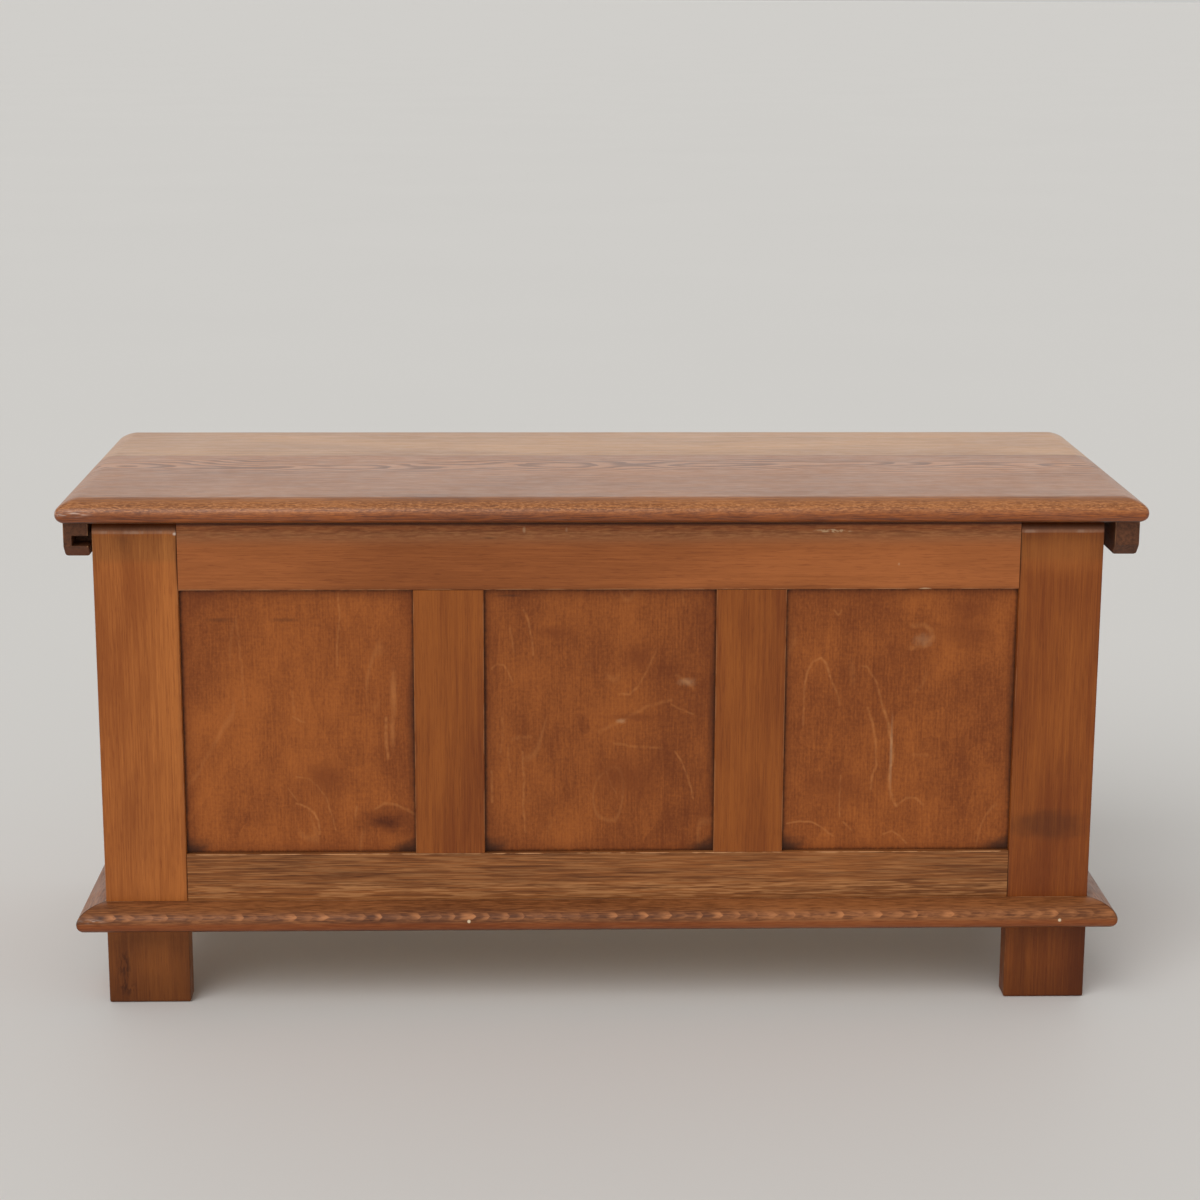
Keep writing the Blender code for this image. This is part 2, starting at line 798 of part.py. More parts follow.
def add_cleat(lid, side, boards):
    """A bar under one end of the lid, outside the carcass, screwed up into both boards."""
    word = "left" if side < 0 else "right"
    top = -FIT_GAP / 2
    bottom = top - CLEAT_HEIGHT
    front = HINGE_INSET - CARCASS_DEPTH - LID_FRONT_OVERHANG + CLEAT_FRONT_SETBACK
    back = HINGE_INSET - CLEAT_BACK_SETBACK
    inner = LID_OFFSET + side * (HALF_WIDTH + CLEAT_CLEARANCE)
    outer = inner + side * CLEAT_WIDTH
    outline = [
        (front, top),
        (front, bottom + CLEAT_CHAMFER),
        (front + CLEAT_CHAMFER, bottom),
        (back - CLEAT_CHAMFER, bottom),
        (back, bottom + CLEAT_CHAMFER),
        (back, top),
    ]
    shape = extrude_along_x(outline, min(inner, outer), max(inner, outer))
    lower = edges_where(shape, lambda p: same(p.z, bottom))
    lower = [edge for edge in lower if same(*(v.co.x for v in edge.verts))]
    ease(shape, lower, CLEAT_ARRIS, ARRIS_STEPS)
    cleat = add_piece(f"lid_cleat_{word}", shape, (0, 0, 0), lid, "cleat_oak")
    if side < 0:
        notch_low = bottom + CLEAT_CHAMFER + NOTCH_LIP
        cut_box(
            cleat,
            (inner - side * CUT_OVERRUN, front - CUT_OVERRUN, notch_low),
            (outer - side * NOTCH_WALL, front + NOTCH_LENGTH, notch_low + NOTCH_HEIGHT),
        )
    screw = Screw(
        CLEAT_SCREW_RADIUS, CLEAT_SCREW_HEAD_RADIUS, CLEAT_SCREW_HEAD_DEPTH, CLEAT_SCREW_LENGTH
    )
    middle = (inner + outer) / 2
    head = FIT_GAP / 2 + CLEAT_SCREW_BITE - CLEAT_SCREW_LENGTH
    places = [
        facing((middle, front + (back - front) * share, head), (0, 0, 1))
        for share in CLEAT_SCREW_SHARES
    ]
    lead = head - bottom + CUT_OVERRUN
    add_screws(f"cleat_screw_{word}", screw, places, lid, [cleat, *boards], lead)


def knuckle_outline(side):
    """A knuckle and the neck to its leaf, in Y and Z about the pin. side is 1 above the pin, -1 below."""
    near = FIT_GAP / 2
    far = near + LEAF_THICKNESS
    neck = -KNUCKLE_RADIUS - FIT_GAP - ROOT_DEPTH
    start = math.pi - math.asin(far / KNUCKLE_RADIUS)
    end = -math.pi - math.asin(near / KNUCKLE_RADIUS)
    outline = [(neck, side * far)]
    for step in range(KNUCKLE_STEPS + 1):
        angle = start + (end - start) * step / KNUCKLE_STEPS
        outline.append((KNUCKLE_RADIUS * math.cos(angle), side * KNUCKLE_RADIUS * math.sin(angle)))
    outline.append((neck, side * near))
    return outline


def add_leaf(name, side, middle, origin, parent):
    """One leaf with its own knuckles. side is 1 for the lid's leaf, -1 for the carcass's."""
    near = side * FIT_GAP / 2
    far = near + side * LEAF_THICKNESS
    low, high = spread(
        (middle - HINGE_LENGTH / 2, -LEAF_WIDTH, near),
        (middle + HINGE_LENGTH / 2, -KNUCKLE_RADIUS - FIT_GAP, far),
    )
    shape, place = box(low, high)
    leaf = add_piece(name, shape, place + origin, parent, "hinge_brass")
    pitch = HINGE_LENGTH / KNUCKLE_COUNT
    outline = knuckle_outline(side)
    for index in range(0 if side < 0 else 1, KNUCKLE_COUNT, 2):
        start = middle - HINGE_LENGTH / 2 + pitch * index
        ends = (
            start + (FIT_GAP / 2 if index > 0 else 0),
            start + pitch - (FIT_GAP / 2 if index < KNUCKLE_COUNT - 1 else 0),
        )
        knuckle = extrude_along_x(outline, *ends)
        combine(leaf, add_tool(f"{name}_knuckle_{index}", knuckle, origin, parent), "UNION")
    bore = cylinder_along_x(PIN_RADIUS + FIT_GAP, middle, HINGE_LENGTH + CUT_OVERRUN * 2)
    combine(leaf, add_tool(f"{name}_bore", bore, origin, parent), "DIFFERENCE")
    return leaf


def cylinder_along_x(radius, middle, length):
    outline = [
        (radius * math.cos(angle), radius * math.sin(angle))
        for angle in (math.tau * step / KNUCKLE_STEPS for step in range(KNUCKLE_STEPS))
    ]
    return extrude_along_x(outline, middle - length / 2, middle + length / 2)


def recess_outline(side):
    """The room for one leaf and its side of the knuckles, in Y and Z about the pin."""
    leaf_edge = -LEAF_WIDTH - FIT_GAP
    leaf_floor = side * (LEAF_THICKNESS + FIT_GAP * 1.5)
    knuckle_edge = -KNUCKLE_RADIUS - FIT_GAP
    knuckle_floor = side * (KNUCKLE_RADIUS + FIT_GAP)
    open_side = -side * CUT_OVERRUN
    behind = HINGE_INSET + CUT_OVERRUN
    return [
        (leaf_edge, open_side),
        (leaf_edge, leaf_floor),
        (knuckle_edge, leaf_floor),
        (knuckle_edge, knuckle_floor),
        (behind, knuckle_floor),
        (behind, open_side),
    ]


def cut_stop_bevel(pieces, name, side, origin, parent):
    """Bevels the wood behind the pins, so that the open lid comes to rest against the back."""
    surface = side * FIT_GAP / 2
    open_side = surface - side * CUT_OVERRUN
    reach = HINGE_INSET + CUT_OVERRUN
    outline = [
        (0, surface),
        (reach, surface + side * reach * math.tan(STOP_BEVEL)),
        (reach, open_side),
        (0, open_side),
    ]
    length = HALF_WIDTH + LID_SIDE_OVERHANG + abs(LID_OFFSET) + CUT_OVERRUN
    tool = add_tool(name, extrude_along_x(outline, -length, length), origin, parent)
    for piece in pieces:
        combine(piece, tool, "DIFFERENCE")


def add_hinge(word, middle, carcass, lid, back_rail, rear_board):
    """One butt hinge, let half into the back rail and half into the lid, with its pin and screws."""
    screw = Screw(
        HINGE_SCREW_RADIUS, HINGE_SCREW_HEAD_RADIUS, HINGE_SCREW_HEAD_DEPTH, HINGE_SCREW_LENGTH
    )
    row = -(KNUCKLE_RADIUS + FIT_GAP + LEAF_WIDTH) / 2
    columns = [middle + HINGE_SCREW_SPACING * index for index in (-1, 0, 1)]
    ends = (middle - HINGE_LENGTH / 2 - FIT_GAP, middle + HINGE_LENGTH / 2 + FIT_GAP)
    halves = (
        ("carcass", -1, AXIS, carcass, back_rail),
        ("lid", 1, Vector((0, 0, 0)), lid, rear_board),
    )
    for half, side, origin, parent, wood in halves:
        leaf = add_leaf(f"hinge_{word}_{half}_leaf", side, middle, origin, parent)
        shape = extrude_along_x(recess_outline(side), *ends)
        recess = add_tool(f"hinge_{word}_{half}_recess", shape, origin, parent)
        combine(wood, recess, "DIFFERENCE")
        places = [
            facing(origin + Vector((x, row, side * FIT_GAP / 2)), (0, 0, side)) for x in columns
        ]
        add_screws(f"hinge_{word}_{half}_screw", screw, places, parent, [leaf, wood])
    pin = cylinder_along_x(PIN_RADIUS, middle, HINGE_LENGTH)
    add_piece(f"hinge_{word}_pin", pin, AXIS, carcass, "hinge_brass", smooth=True)


def main():
    for old in list(bpy.data.objects):
        bpy.data.objects.remove(old, do_unlink=True)
    carcass = add_empty("carcass")
    lid = add_empty("lid", carcass, AXIS)

    build_frame(front_frame(carcass))
    back_stiles, back_rails = build_frame(back_frame(carcass))
    for side in (-1, 1):
        build_frame(end_frame(carcass, side))
    add_bottom(carcass)
    add_battens(carcass)
    add_base_mouldings(carcass)

    boards = add_lid_boards(lid)
    for side in (-1, 1):
        add_cleat(lid, side, boards)
    cut_stop_bevel([*back_stiles, back_rails[0]], "carcass_stop_bevel", -1, AXIS, carcass)
    cut_stop_bevel([boards[1]], "lid_stop_bevel", 1, Vector((0, 0, 0)), lid)
    for word, side in (("left", -1), ("right", 1)):
        middle = side * (HALF_WIDTH - HINGE_END_DISTANCE)
        add_hinge(word, middle, carcass, lid, back_rails[0], boards[1])


if __name__ == "__main__":
    main()
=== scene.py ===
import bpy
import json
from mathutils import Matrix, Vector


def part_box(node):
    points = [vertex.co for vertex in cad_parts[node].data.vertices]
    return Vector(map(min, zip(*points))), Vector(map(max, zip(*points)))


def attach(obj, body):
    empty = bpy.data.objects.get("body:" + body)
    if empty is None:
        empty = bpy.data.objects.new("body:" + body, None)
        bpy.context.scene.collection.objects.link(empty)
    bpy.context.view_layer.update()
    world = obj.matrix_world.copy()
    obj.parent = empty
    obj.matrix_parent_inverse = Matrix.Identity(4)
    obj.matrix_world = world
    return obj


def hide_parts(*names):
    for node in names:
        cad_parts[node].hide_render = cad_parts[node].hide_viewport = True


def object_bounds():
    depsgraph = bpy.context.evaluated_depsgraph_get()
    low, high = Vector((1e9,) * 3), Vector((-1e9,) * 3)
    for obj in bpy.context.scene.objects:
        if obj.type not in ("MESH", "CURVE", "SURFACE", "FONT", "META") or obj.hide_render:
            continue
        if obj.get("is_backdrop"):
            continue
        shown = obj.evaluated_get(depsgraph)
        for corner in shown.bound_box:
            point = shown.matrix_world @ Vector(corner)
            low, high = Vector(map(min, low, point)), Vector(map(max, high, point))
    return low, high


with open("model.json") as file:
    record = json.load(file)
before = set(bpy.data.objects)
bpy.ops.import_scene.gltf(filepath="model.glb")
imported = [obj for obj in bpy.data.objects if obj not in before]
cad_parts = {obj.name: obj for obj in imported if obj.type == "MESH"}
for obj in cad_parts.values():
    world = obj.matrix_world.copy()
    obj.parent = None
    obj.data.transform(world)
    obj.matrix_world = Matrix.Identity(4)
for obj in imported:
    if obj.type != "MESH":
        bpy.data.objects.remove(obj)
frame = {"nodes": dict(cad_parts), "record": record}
CAD_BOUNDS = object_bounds()

import inspect
import json
import math
from dataclasses import dataclass
from types import SimpleNamespace

import bmesh
import bpy
from bpy.props import FloatProperty, FloatVectorProperty, PointerProperty
from mathutils import Matrix, Vector

bl_info = {
    "name": "Panelled blanket chest",
    "version": (1, 0, 0),
    "blender": (4, 5, 0),
    "location": "3D View > Sidebar > Chest",
    "description": "Dresses a panelled oak blanket chest and lights it in a plain studio",
    "category": "Object",
}

# The camera, matched to the photograph
CAMERA_PLACE = (-0.0714, -2.72485, 1.00311)
CAMERA_TURN = (math.radians(77.1166), math.radians(-0.22454), math.radians(-1.55012))
CAMERA_LENS_MM = 78.875
CAMERA_SENSOR_MM = 36
CAMERA_REACH = 5000

# The light: even all round, brighter low behind the chest, and a soft lamp from the front left
LOWEST_LIGHT = 0.60
SIDE_LIGHT = 0.72
TOP_LIGHT = 0.46
REAR_LIGHT = 0.30
SUN_FROM = (-0.38, -0.62, 0.7)
SUN_SPREAD = math.radians(45)
SUN_STRENGTH = 1.25

# Merging and smoothing the copies of the solids
MERGE_DISTANCE = 0.000002
FLAT_ANGLE = math.radians(0.2)
SMOOTH_ANGLE = math.radians(38)

# The turns that bring a piece's grain along the patterns' X, and the steps that part the pieces'
GRAIN_TURNS = {"X": (0, 0, 0), "Y": (0, 0, -math.pi / 2), "Z": (0, math.pi / 2, 0)}
SEED_STEP = 1.713
SEED_SHARES = (1, 0.61, 0.37)

# Directions and places on the chest
ORIGIN = (0, 0, 0)
FRONT, BACK, LEFT, RIGHT = (0, -1, 0), (0, 1, 0), (-1, 0, 0), (1, 0, 0)
FRONT_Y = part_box("front_top_rail")[0].y
PANEL_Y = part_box("front_panel_left")[0].y
STILE_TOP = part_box("front_stile_left")[1].z
MITRE_CORNER = (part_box("front_stile_right")[1].x, FRONT_Y, 0)

# How far a panel goes into its frame, and how far the lid's rolled edge reaches back
PANEL_ENTRY = 0.007
ROLL_REACH = 0.022

# A screw's proportions, as shares of its head's radius or its shank's, and how its slots lie
SCREW_SIDES = 24
SCREW_SHANK_SHARE = 0.5
SCREW_RIM_SHARE = 0.06
SCREW_PITCH_SHARE = 0.75
SCREW_THREAD_SWELL = 1.16
SCREW_POINT_SHARE = 0.12
SCREW_BEVEL_SHARE = 0.12
SCREW_SLOT_TURNS = (17, 71, 128, 44, 96, 151, 8)


def screen_colour(red, green, blue):
    """A colour as a screen shows it, 0 to 255, as the linear values that shaders take."""
    shares = (value / 255 for value in (red, green, blue))
    return tuple(v / 12.92 if v <= 0.04045 else ((v + 0.055) / 1.055) ** 2.4 for v in shares)


# Settings


def colour_setting(name, description, *colour):
    return FloatVectorProperty(
        name=name,
        description=description,
        subtype="COLOR",
        size=3,
        min=0,
        max=1,
        default=screen_colour(*colour),
    )


def length_setting(name, description, metres):
    return FloatProperty(
        name=name, description=description, default=metres, min=0, unit="LENGTH", precision=5
    )


# Each wood: where it shows, its pale colour and its dark one
WOODS = {
    "stile": ("the lighter uprights", (191, 114, 52), (149, 80, 31)),
    "muntin": ("the darker uprights", (156, 86, 31), (122, 59, 18)),
    "rail": ("the top rail", (176, 102, 52), (140, 76, 33)),
    "low_rail": ("the bottom rail", (172, 106, 54), (92, 50, 22)),
    "panel": ("the panels", (176, 98, 40), (118, 56, 18)),
    "base": ("the base moulding", (160, 100, 56), (98, 53, 25)),
    "lid": ("the lid's front board", (188, 117, 57), (126, 71, 31)),
    "rear": ("the lid's rear board", (209, 153, 98), (165, 108, 62)),
    "cleat": ("the cleats", (111, 68, 43), (75, 45, 29)),
    "bare": ("the unstained inside", (198, 162, 118), (160, 120, 80)),
    "birch": ("the unstained plywood", (214, 184, 140), (184, 150, 106)),
    "pine": ("the battens", (214, 178, 124), (178, 128, 78)),
}


def wood_settings():
    """A setting for the pale colour of each wood, and one for the dark."""
    made = {}
    for wood, (where, *pair) in WOODS.items():
        label = wood.replace("_", " ").capitalize()
        for tone, colour in zip(("pale", "dark"), pair):
            text = f"{tone.title()} wood of {where}"
            made[f"{wood}_{tone}"] = colour_setting(f"{label}, {tone}", text, *colour)
    return made


class ChestColours(bpy.types.PropertyGroup):
    """The colours of the chest's finishes and of the studio."""

    __annotations__ = wood_settings()
    panel_line: colour_setting("Panel, line", "Thin light lines of the panels", 200, 128, 70)
    stain: colour_setting("Pooled stain", "Stain gathered in corners and along edges", 58, 29, 13)
    rubbed: colour_setting("Rubbed edge", "Wood showing at rubbed arrises", 208, 152, 104)
    brass: colour_setting("Brass", "Hinge leaves", 176, 138, 78)
    steel: colour_setting("Steel", "Screws and hinge pins", 140, 138, 134)
    floor: colour_setting("Floor", "The plain studio floor", 230, 228, 225)
    daylight: colour_setting("Daylight", "The light from all round", 250, 249, 246)


class ChestSizes(bpy.types.PropertyGroup):
    """The sizes of the chest's finer detail and of the studio."""

    ring_width: length_setting("Ring width", "Yearly rings of the lid's boards", 0.0042)
    wear_width: length_setting("Wear width", "How far an arris is rubbed pale", 0.0011)
    grime_width: length_setting("Grime width", "How far stain has gathered at an arris", 0.006)
    border_width: length_setting("Border width", "Dark border of the stained panels", 0.0036)
    corner_radius: length_setting("Corner radius", "Round corners of the borders", 0.005)
    slot_width: length_setting("Slot width", "Slot across a screw's head", 0.0009)
    slot_depth: length_setting("Slot depth", "Depth of a screw's slot", 0.0008)
    floor_reach: length_setting("Floor reach", "Half the width of the studio floor", 2000)


# Shader nodes


def reckoned(operation, swapped=False):
    """A method that puts its signal and what it is given through a math node."""

    def method(self, *others):
        return self.reckon(operation, *((*others, self) if swapped else (self, *others)))

    return method


class Signal:
    """A socket's value, vector or colour, on its way through one shader tree."""

    def __init__(self, wires, socket):
        self.wires = wires
        self.socket = socket

    def reckon(self, operation, *values):
        vector = self.socket.type == "VECTOR"
        kind = "ShaderNodeVectorMath" if vector else "ShaderNodeMath"
        plain = not vector or operation in ("LENGTH", "DOT_PRODUCT")
        values = dict(enumerate(values))
        return self.wires.take("Value" if plain else "Vector", kind, values, operation=operation)

    __add__ = reckoned("ADD")
    __radd__ = reckoned("ADD", swapped=True)
    __sub__ = reckoned("SUBTRACT")
    __rsub__ = reckoned("SUBTRACT", swapped=True)
    __mul__ = reckoned("MULTIPLY")
    __truediv__ = reckoned("DIVIDE")
    __abs__ = reckoned("ABSOLUTE")
    least = reckoned("MINIMUM")
    most = reckoned("MAXIMUM")
    floor = reckoned("FLOOR")
    fract = reckoned("FRACT")
    length = reckoned("LENGTH")
    dot = reckoned("DOT_PRODUCT")

    def scaled(self, by):
        inputs = {0: self, "Scale": by}
        return self.wires.take("Vector", "ShaderNodeVectorMath", inputs, operation="SCALE")

    def stretched(self, along, across):
        """The place scaled along X and across it: a noise's waves for each metre."""
        return self * (along, across, across)

    def turned(self, turn, shift):
        inputs = {"Vector": self, "Rotation": turn, "Location": shift}
        return self.wires.take("Vector", "ShaderNodeMapping", inputs)

    def split(self):
        node = self.wires.node("ShaderNodeSeparateXYZ", {"Vector": self})
        return [Signal(self.wires, socket) for socket in node.outputs]

    def noise(self, detail=2.0, roughness=0.5, distortion=0.0):
        inputs = {"Vector": self, "Scale": 1.0, "Detail": detail}
        inputs.update({"Roughness": roughness, "Distortion": distortion})
        return self.wires.take("Fac", "ShaderNodeTexNoise", inputs)

    def random(self):
        """A value that jumps with each whole number."""
        inputs = {"W": self.floor()}
        return self.wires.take("Value", "ShaderNodeTexWhiteNoise", inputs, noise_dimensions="1D")

    def swing(self, amount):
        """A noise of 0 to 1 as a swing of that amount about zero."""
        return (self - 0.5) * amount

    def eased(self, low, high, to_low=0.0, to_high=1.0):
        inputs = {"Value": self, "From Min": low, "From Max": high}
        inputs.update({"To Min": to_low, "To Max": to_high})
        smooth = "SMOOTHSTEP"
        return self.wires.take("Result", "ShaderNodeMapRange", inputs, interpolation_type=smooth)

    def faded(self, low, high):
        return self.eased(low, high, 1.0, 0.0)

    def mixed(self, first, second, blend="MIX"):
        """This share of the way from one colour to another."""
        inputs = {0: self, 6: first, 7: second}
        return self.wires.take(2, "ShaderNodeMix", inputs, data_type="RGBA", blend_type=blend)


class Wiring:
    """Adds nodes to one shader tree and links them."""

    def __init__(self, tree):
        self.tree = tree

    def feed(self, socket, value):
        if isinstance(value, Signal):
            self.tree.links.new(value.socket, socket)
        elif socket.type == "RGBA" and len(value) == 3:
            socket.default_value = (*value, 1)
        else:
            socket.default_value = value

    def node(self, kind, inputs=None, **settings):
        made = self.tree.nodes.new(kind)
        for key, value in settings.items():
            setattr(made, key, value)
        for key, value in (inputs or {}).items():
            self.feed(made.inputs[key], value)
        return made

    def take(self, output, kind, inputs=None, **settings):
        return Signal(self, self.node(kind, inputs, **settings).outputs[output])

    def join(self, x=0.0, y=0.0, z=0.0):
        return self.take("Vector", "ShaderNodeCombineXYZ", {"X": x, "Y": y, "Z": z})

    def place(self):
        """Where a point of the piece lies, in metres."""
        return self.take("Object", "ShaderNodeTexCoord")

    def outputs(self, node):
        """A node's outputs as signals, each under its own name."""
        named = {socket.name: Signal(self, socket) for socket in node.outputs if socket.name}
        return {name.lower().replace(" ", "_"): signal for name, signal in named.items()}

    def cover(self, inputs, height=None, bump=(0.0, 0.0)):
        """Closes a material: its shader takes these inputs and, with a height, a bump."""
        if height:
            relief = {"Height": height, "Strength": bump[0], "Distance": bump[1]}
            inputs["Normal"] = self.take("Normal", "ShaderNodeBump", relief)
        surface = self.take("BSDF", "ShaderNodeBsdfPrincipled", inputs)
        self.node("ShaderNodeOutputMaterial", {"Surface": surface})


# Groups of shader nodes, by name

GROUPS = {}


def socket_name(word):
    return word.replace("_", " ").title()


def shader_group(build):
    """Makes a function that wires a group into one that uses it. Its arguments are the sockets."""
    name = build.__name__.replace("_", " ").capitalize()
    GROUPS[name] = build

    def use(wires, **inputs):
        named = {socket_name(word): value for word, value in inputs.items()}
        made = wires.node("ShaderNodeGroup", named, node_tree=bpy.data.node_groups[name])
        return SimpleNamespace(**wires.outputs(made))

    return use


def build_groups():
    kinds = {"VALUE": "NodeSocketFloat", "VECTOR": "NodeSocketVector", "RGBA": "NodeSocketColor"}
    for name, build in GROUPS.items():
        tree = bpy.data.node_groups.new(name, "ShaderNodeTree")
        wires = Wiring(tree)
        for word, argument in list(inspect.signature(build).parameters.items())[1:]:
            default = argument.default
            length = 1 if isinstance(default, float) else len(default)
            kind = kinds[{1: "VALUE", 3: "VECTOR", 4: "RGBA"}[length]]
            socket = tree.interface.new_socket(socket_name(word), in_out="INPUT", socket_type=kind)
            socket.default_value = default
        given = wires.outputs(wires.node("NodeGroupInput"))
        results = {socket_name(word): signal for word, signal in build(wires, **given).items()}
        for label, signal in results.items():
            kind = kinds[signal.socket.type]
            tree.interface.new_socket(label, in_out="OUTPUT", socket_type=kind)
        wires.node("NodeGroupOutput", results)


@shader_group
def timber_grain(
    wires,
    position=ORIGIN,
    pale=(0.6, 0.4, 0.2, 1),
    dark=(0.3, 0.15, 0.07, 1),
    line_density=330.0,
    line_breaks=1.7,
    lines=1.0,
    fibres=0.5,
    pores=0.5,
    clouds=0.5,
    sway=0.011,
    figure=0.5,
    figure_strength=0.0,
):
    """Streaks, fibres, pores and clouds of sawn timber whose grain runs along X."""
    drift = position.stretched(2.1, 13).noise(2).swing(sway)
    x, y, z = position.split()
    swayed = wires.join(x, y + drift, z + drift)
    streaks = (swayed * wires.join(line_breaks, line_density, line_density)).noise(3, 0.62)
    threads = swayed.stretched(21, 900).noise(2, 0.6)
    holes = swayed.stretched(62, 1250).noise(1, 0.5).eased(0.57, 0.68) * pores
    tone = (
        0.5
        + streaks.swing(2.4) * lines
        + threads.swing(1.7) * fibres
        + position.stretched(3.6, 12).noise(3, 0.55).swing(2.3) * clouds
        + figure.swing(1.0) * figure_strength
    )
    colour = tone.eased(0.0, 1.0).mixed(dark, pale)
    return {
        "color": (holes * 0.55).mixed(colour, dark, "MULTIPLY"),
        "height": streaks * 0.35 + threads * 0.35 + holes * -0.8,
        "pores": holes,
    }


@shader_group
def ring_figure(
    wires, position=ORIGIN, pith_depth=0.045, ring_width=0.004, taper=0.02, wander=0.03
):
    """Yearly rings of a flat-sawn board: arches over the pith, and straight lines beside it."""
    x, y, z = position.split()
    wide = wander * 2.0
    beside = y + wires.join(x * 1.9).noise(1).swing(wide)
    lift = wires.join(x * 3.3, y * 7.0, 5.0).noise(2).swing(wide)
    radius = wires.join(0.0, beside, z + pith_depth + lift).length()
    rough = position.stretched(13, 60).noise(2).swing(0.0045)
    rings = (radius + x * taper + rough) / ring_width
    phase = rings.fract()
    late = phase.eased(0.25, 0.88) * phase.faded(0.93, 1.0)
    return {"figure": 1.0 - late, "shade": rings.random()}


@shader_group
def rotary_veneer(
    wires,
    position=ORIGIN,
    pale=(0.5, 0.3, 0.15, 1),
    dark=(0.2, 0.1, 0.05, 1),
    line=(0.7, 0.5, 0.3, 1),
    bands=7.0,
    lines=0.5,
    clouds=0.6,
):
    """Rotary-cut veneer with its fibres along X: clouds, contour lines and fine mottling."""
    phase = (position.stretched(3.0, 8.5).noise(2, 0.45, 0.7) * bands).fract()
    contour = abs(phase - 0.5).faded(0.0, 0.045)
    broken = position.stretched(15, 34).noise(2).eased(0.47, 0.62)
    fibres = position.stretched(30, 560).noise(2, 0.6)
    mottle = position.stretched(260, 420).noise(2, 0.6)
    tone = (
        0.5
        + position.stretched(6.0, 10).noise(3, 0.6).swing(2.6) * clouds
        + position.stretched(22, 34).noise(3, 0.6).swing(1.5) * clouds
        + fibres.swing(0.58)
        + position.stretched(620, 75).noise(2, 0.6).swing(0.22)
        + mottle.swing(0.62)
        + phase.swing(0.1)
    )
    colour = tone.eased(0.0, 1.0).mixed(dark, pale)
    return {"color": (contour * broken * lines).mixed(colour, line), "height": fibres + mottle}


@shader_group
def stained_border(
    wires,
    position=ORIGIN,
    centre=ORIGIN,
    half_size=(0.1, 0.1, 0),
    corner=0.01,
    width=0.004,
    ragged=0.004,
):
    """How dark the stain lies at a panel's border, with rounded corners and a ragged edge."""
    past = abs(position - centre) - (half_size - wires.join(corner, corner))
    x, y, _ = past.split()
    depth = corner - (past.most(ORIGIN).length() + x.most(y).least(0.0))
    rough = position.stretched(150, 150).noise(3, 0.65).swing(ragged)
    return {"mask": (depth + rough).faded(0.0, width)}


@shader_group
def soft_spot(
    wires, position=ORIGIN, centre=ORIGIN, reach=(0.01, 0.01, 0.01), ragged=0.5, core=0.3
):
    """A soft, slightly ragged spot at a place in the piece."""
    away = (position - centre) / reach
    rough = away.stretched(2.3, 2.3).noise(3).swing(1.0)
    return {"mask": (away.length() + rough * ragged).faded(core, 1.0)}


@shader_group
def arris_wear(
    wires,
    position=ORIGIN,
    centre=ORIGIN,
    half_size=(0.1, 0.1, 0.1),
    rubbed_width=0.0011,
    grime_width=0.006,
):
    """Where a square-sided piece's arrises are rubbed pale, and where grime has gathered."""
    x, y, z = (half_size - abs(position - centre)).split()
    second = x.least(y).most(x.most(y).least(z))
    patchy = position.stretched(32, 32).noise(3, 0.6)
    rubbed = patchy.eased(0.36, 0.62) * rubbed_width
    grimed = patchy.eased(0.25, 0.75, 1.2, 0.5) * grime_width
    return {
        "rubbed": (second / (rubbed + 0.00001)).faded(0.5, 1.3),
        "grime": (second / grimed).faded(0.0, 1.0),
    }


@shader_group
def handling(wires, position=ORIGIN, scale=1.0):
    """Unevenness of a waxed finish: large soft areas with finer smudges in them."""
    place = position.scaled(scale)
    broad = place.stretched(7, 7).noise(2)
    fine = place.stretched(46, 70).noise(3, 0.6)
    return {"value": (0.5 + broad.swing(1.2) + fine.swing(0.9)).eased(0.0, 1.0)}


@shader_group
def scratches(wires, position=ORIGIN, amount=0.5):
    """Sparse fine scratches, a few centimetres long, along X."""
    threads = position.stretched(19, 480).noise(0, 0.5, 0.4)
    here = position.stretched(9, 21).noise(2)
    return {"mask": threads.eased(0.73, 0.78) * here.eased(0.54, 0.6) * amount}


@shader_group
def broken_flecks(wires, position=ORIGIN, along=70.0, across=260.0):
    """Short broken flecks along X, as where light catches open grain."""
    return {"mask": (position * wires.join(along, across, across)).noise(2, 0.6).eased(0.46, 0.6)}


@shader_group
def nose_scales(wires, position=ORIGIN, level=0.0, pitch=0.018):
    """Rounded scales in a row along X, each with one crisp side, as a painted highlight shows on a
    nosing.
    """
    x, _, z = position.split()
    wander = wires.join(x * 34).noise(1).swing(1.3)
    rows = (x + abs(z - level) * 1.3) / pitch + wander
    phase = rows.fract()
    scale = phase.eased(0.3, 0.8) * phase.faded(0.92, 1.0)
    return {"mask": scale * rows.random().eased(0.1, 0.9, 0.25, 1.0)}


@shader_group
def facing(wires, direction=ORIGIN):
    """How far the surface faces a direction of the piece."""
    normal = wires.take("Normal", "ShaderNodeTexCoord")
    return {"mask": normal.dot(direction).eased(0.35, 0.75)}


@shader_group
def bare_side(
    wires,
    position=ORIGIN,
    inward=(0, 1, 0),
    face=0.0,
    reveal=0.01,
    half_width=0.5,
    foot=0.1,
    top=0.5,
):
    """The unstained side of a frame piece: its inner face, and its edges up to the panel."""
    soft = 0.0005
    x, _, z = position.split()
    edges = (face - position.dot(inward) - reveal).faded(-soft, soft)
    for room in (half_width - abs(x), top - z):
        edges = edges * room.eased(0.004, 0.005)
    inner = facing(wires, direction=inward).mask
    return {"mask": inner.most(edges) * (z - foot).eased(-soft, soft)}


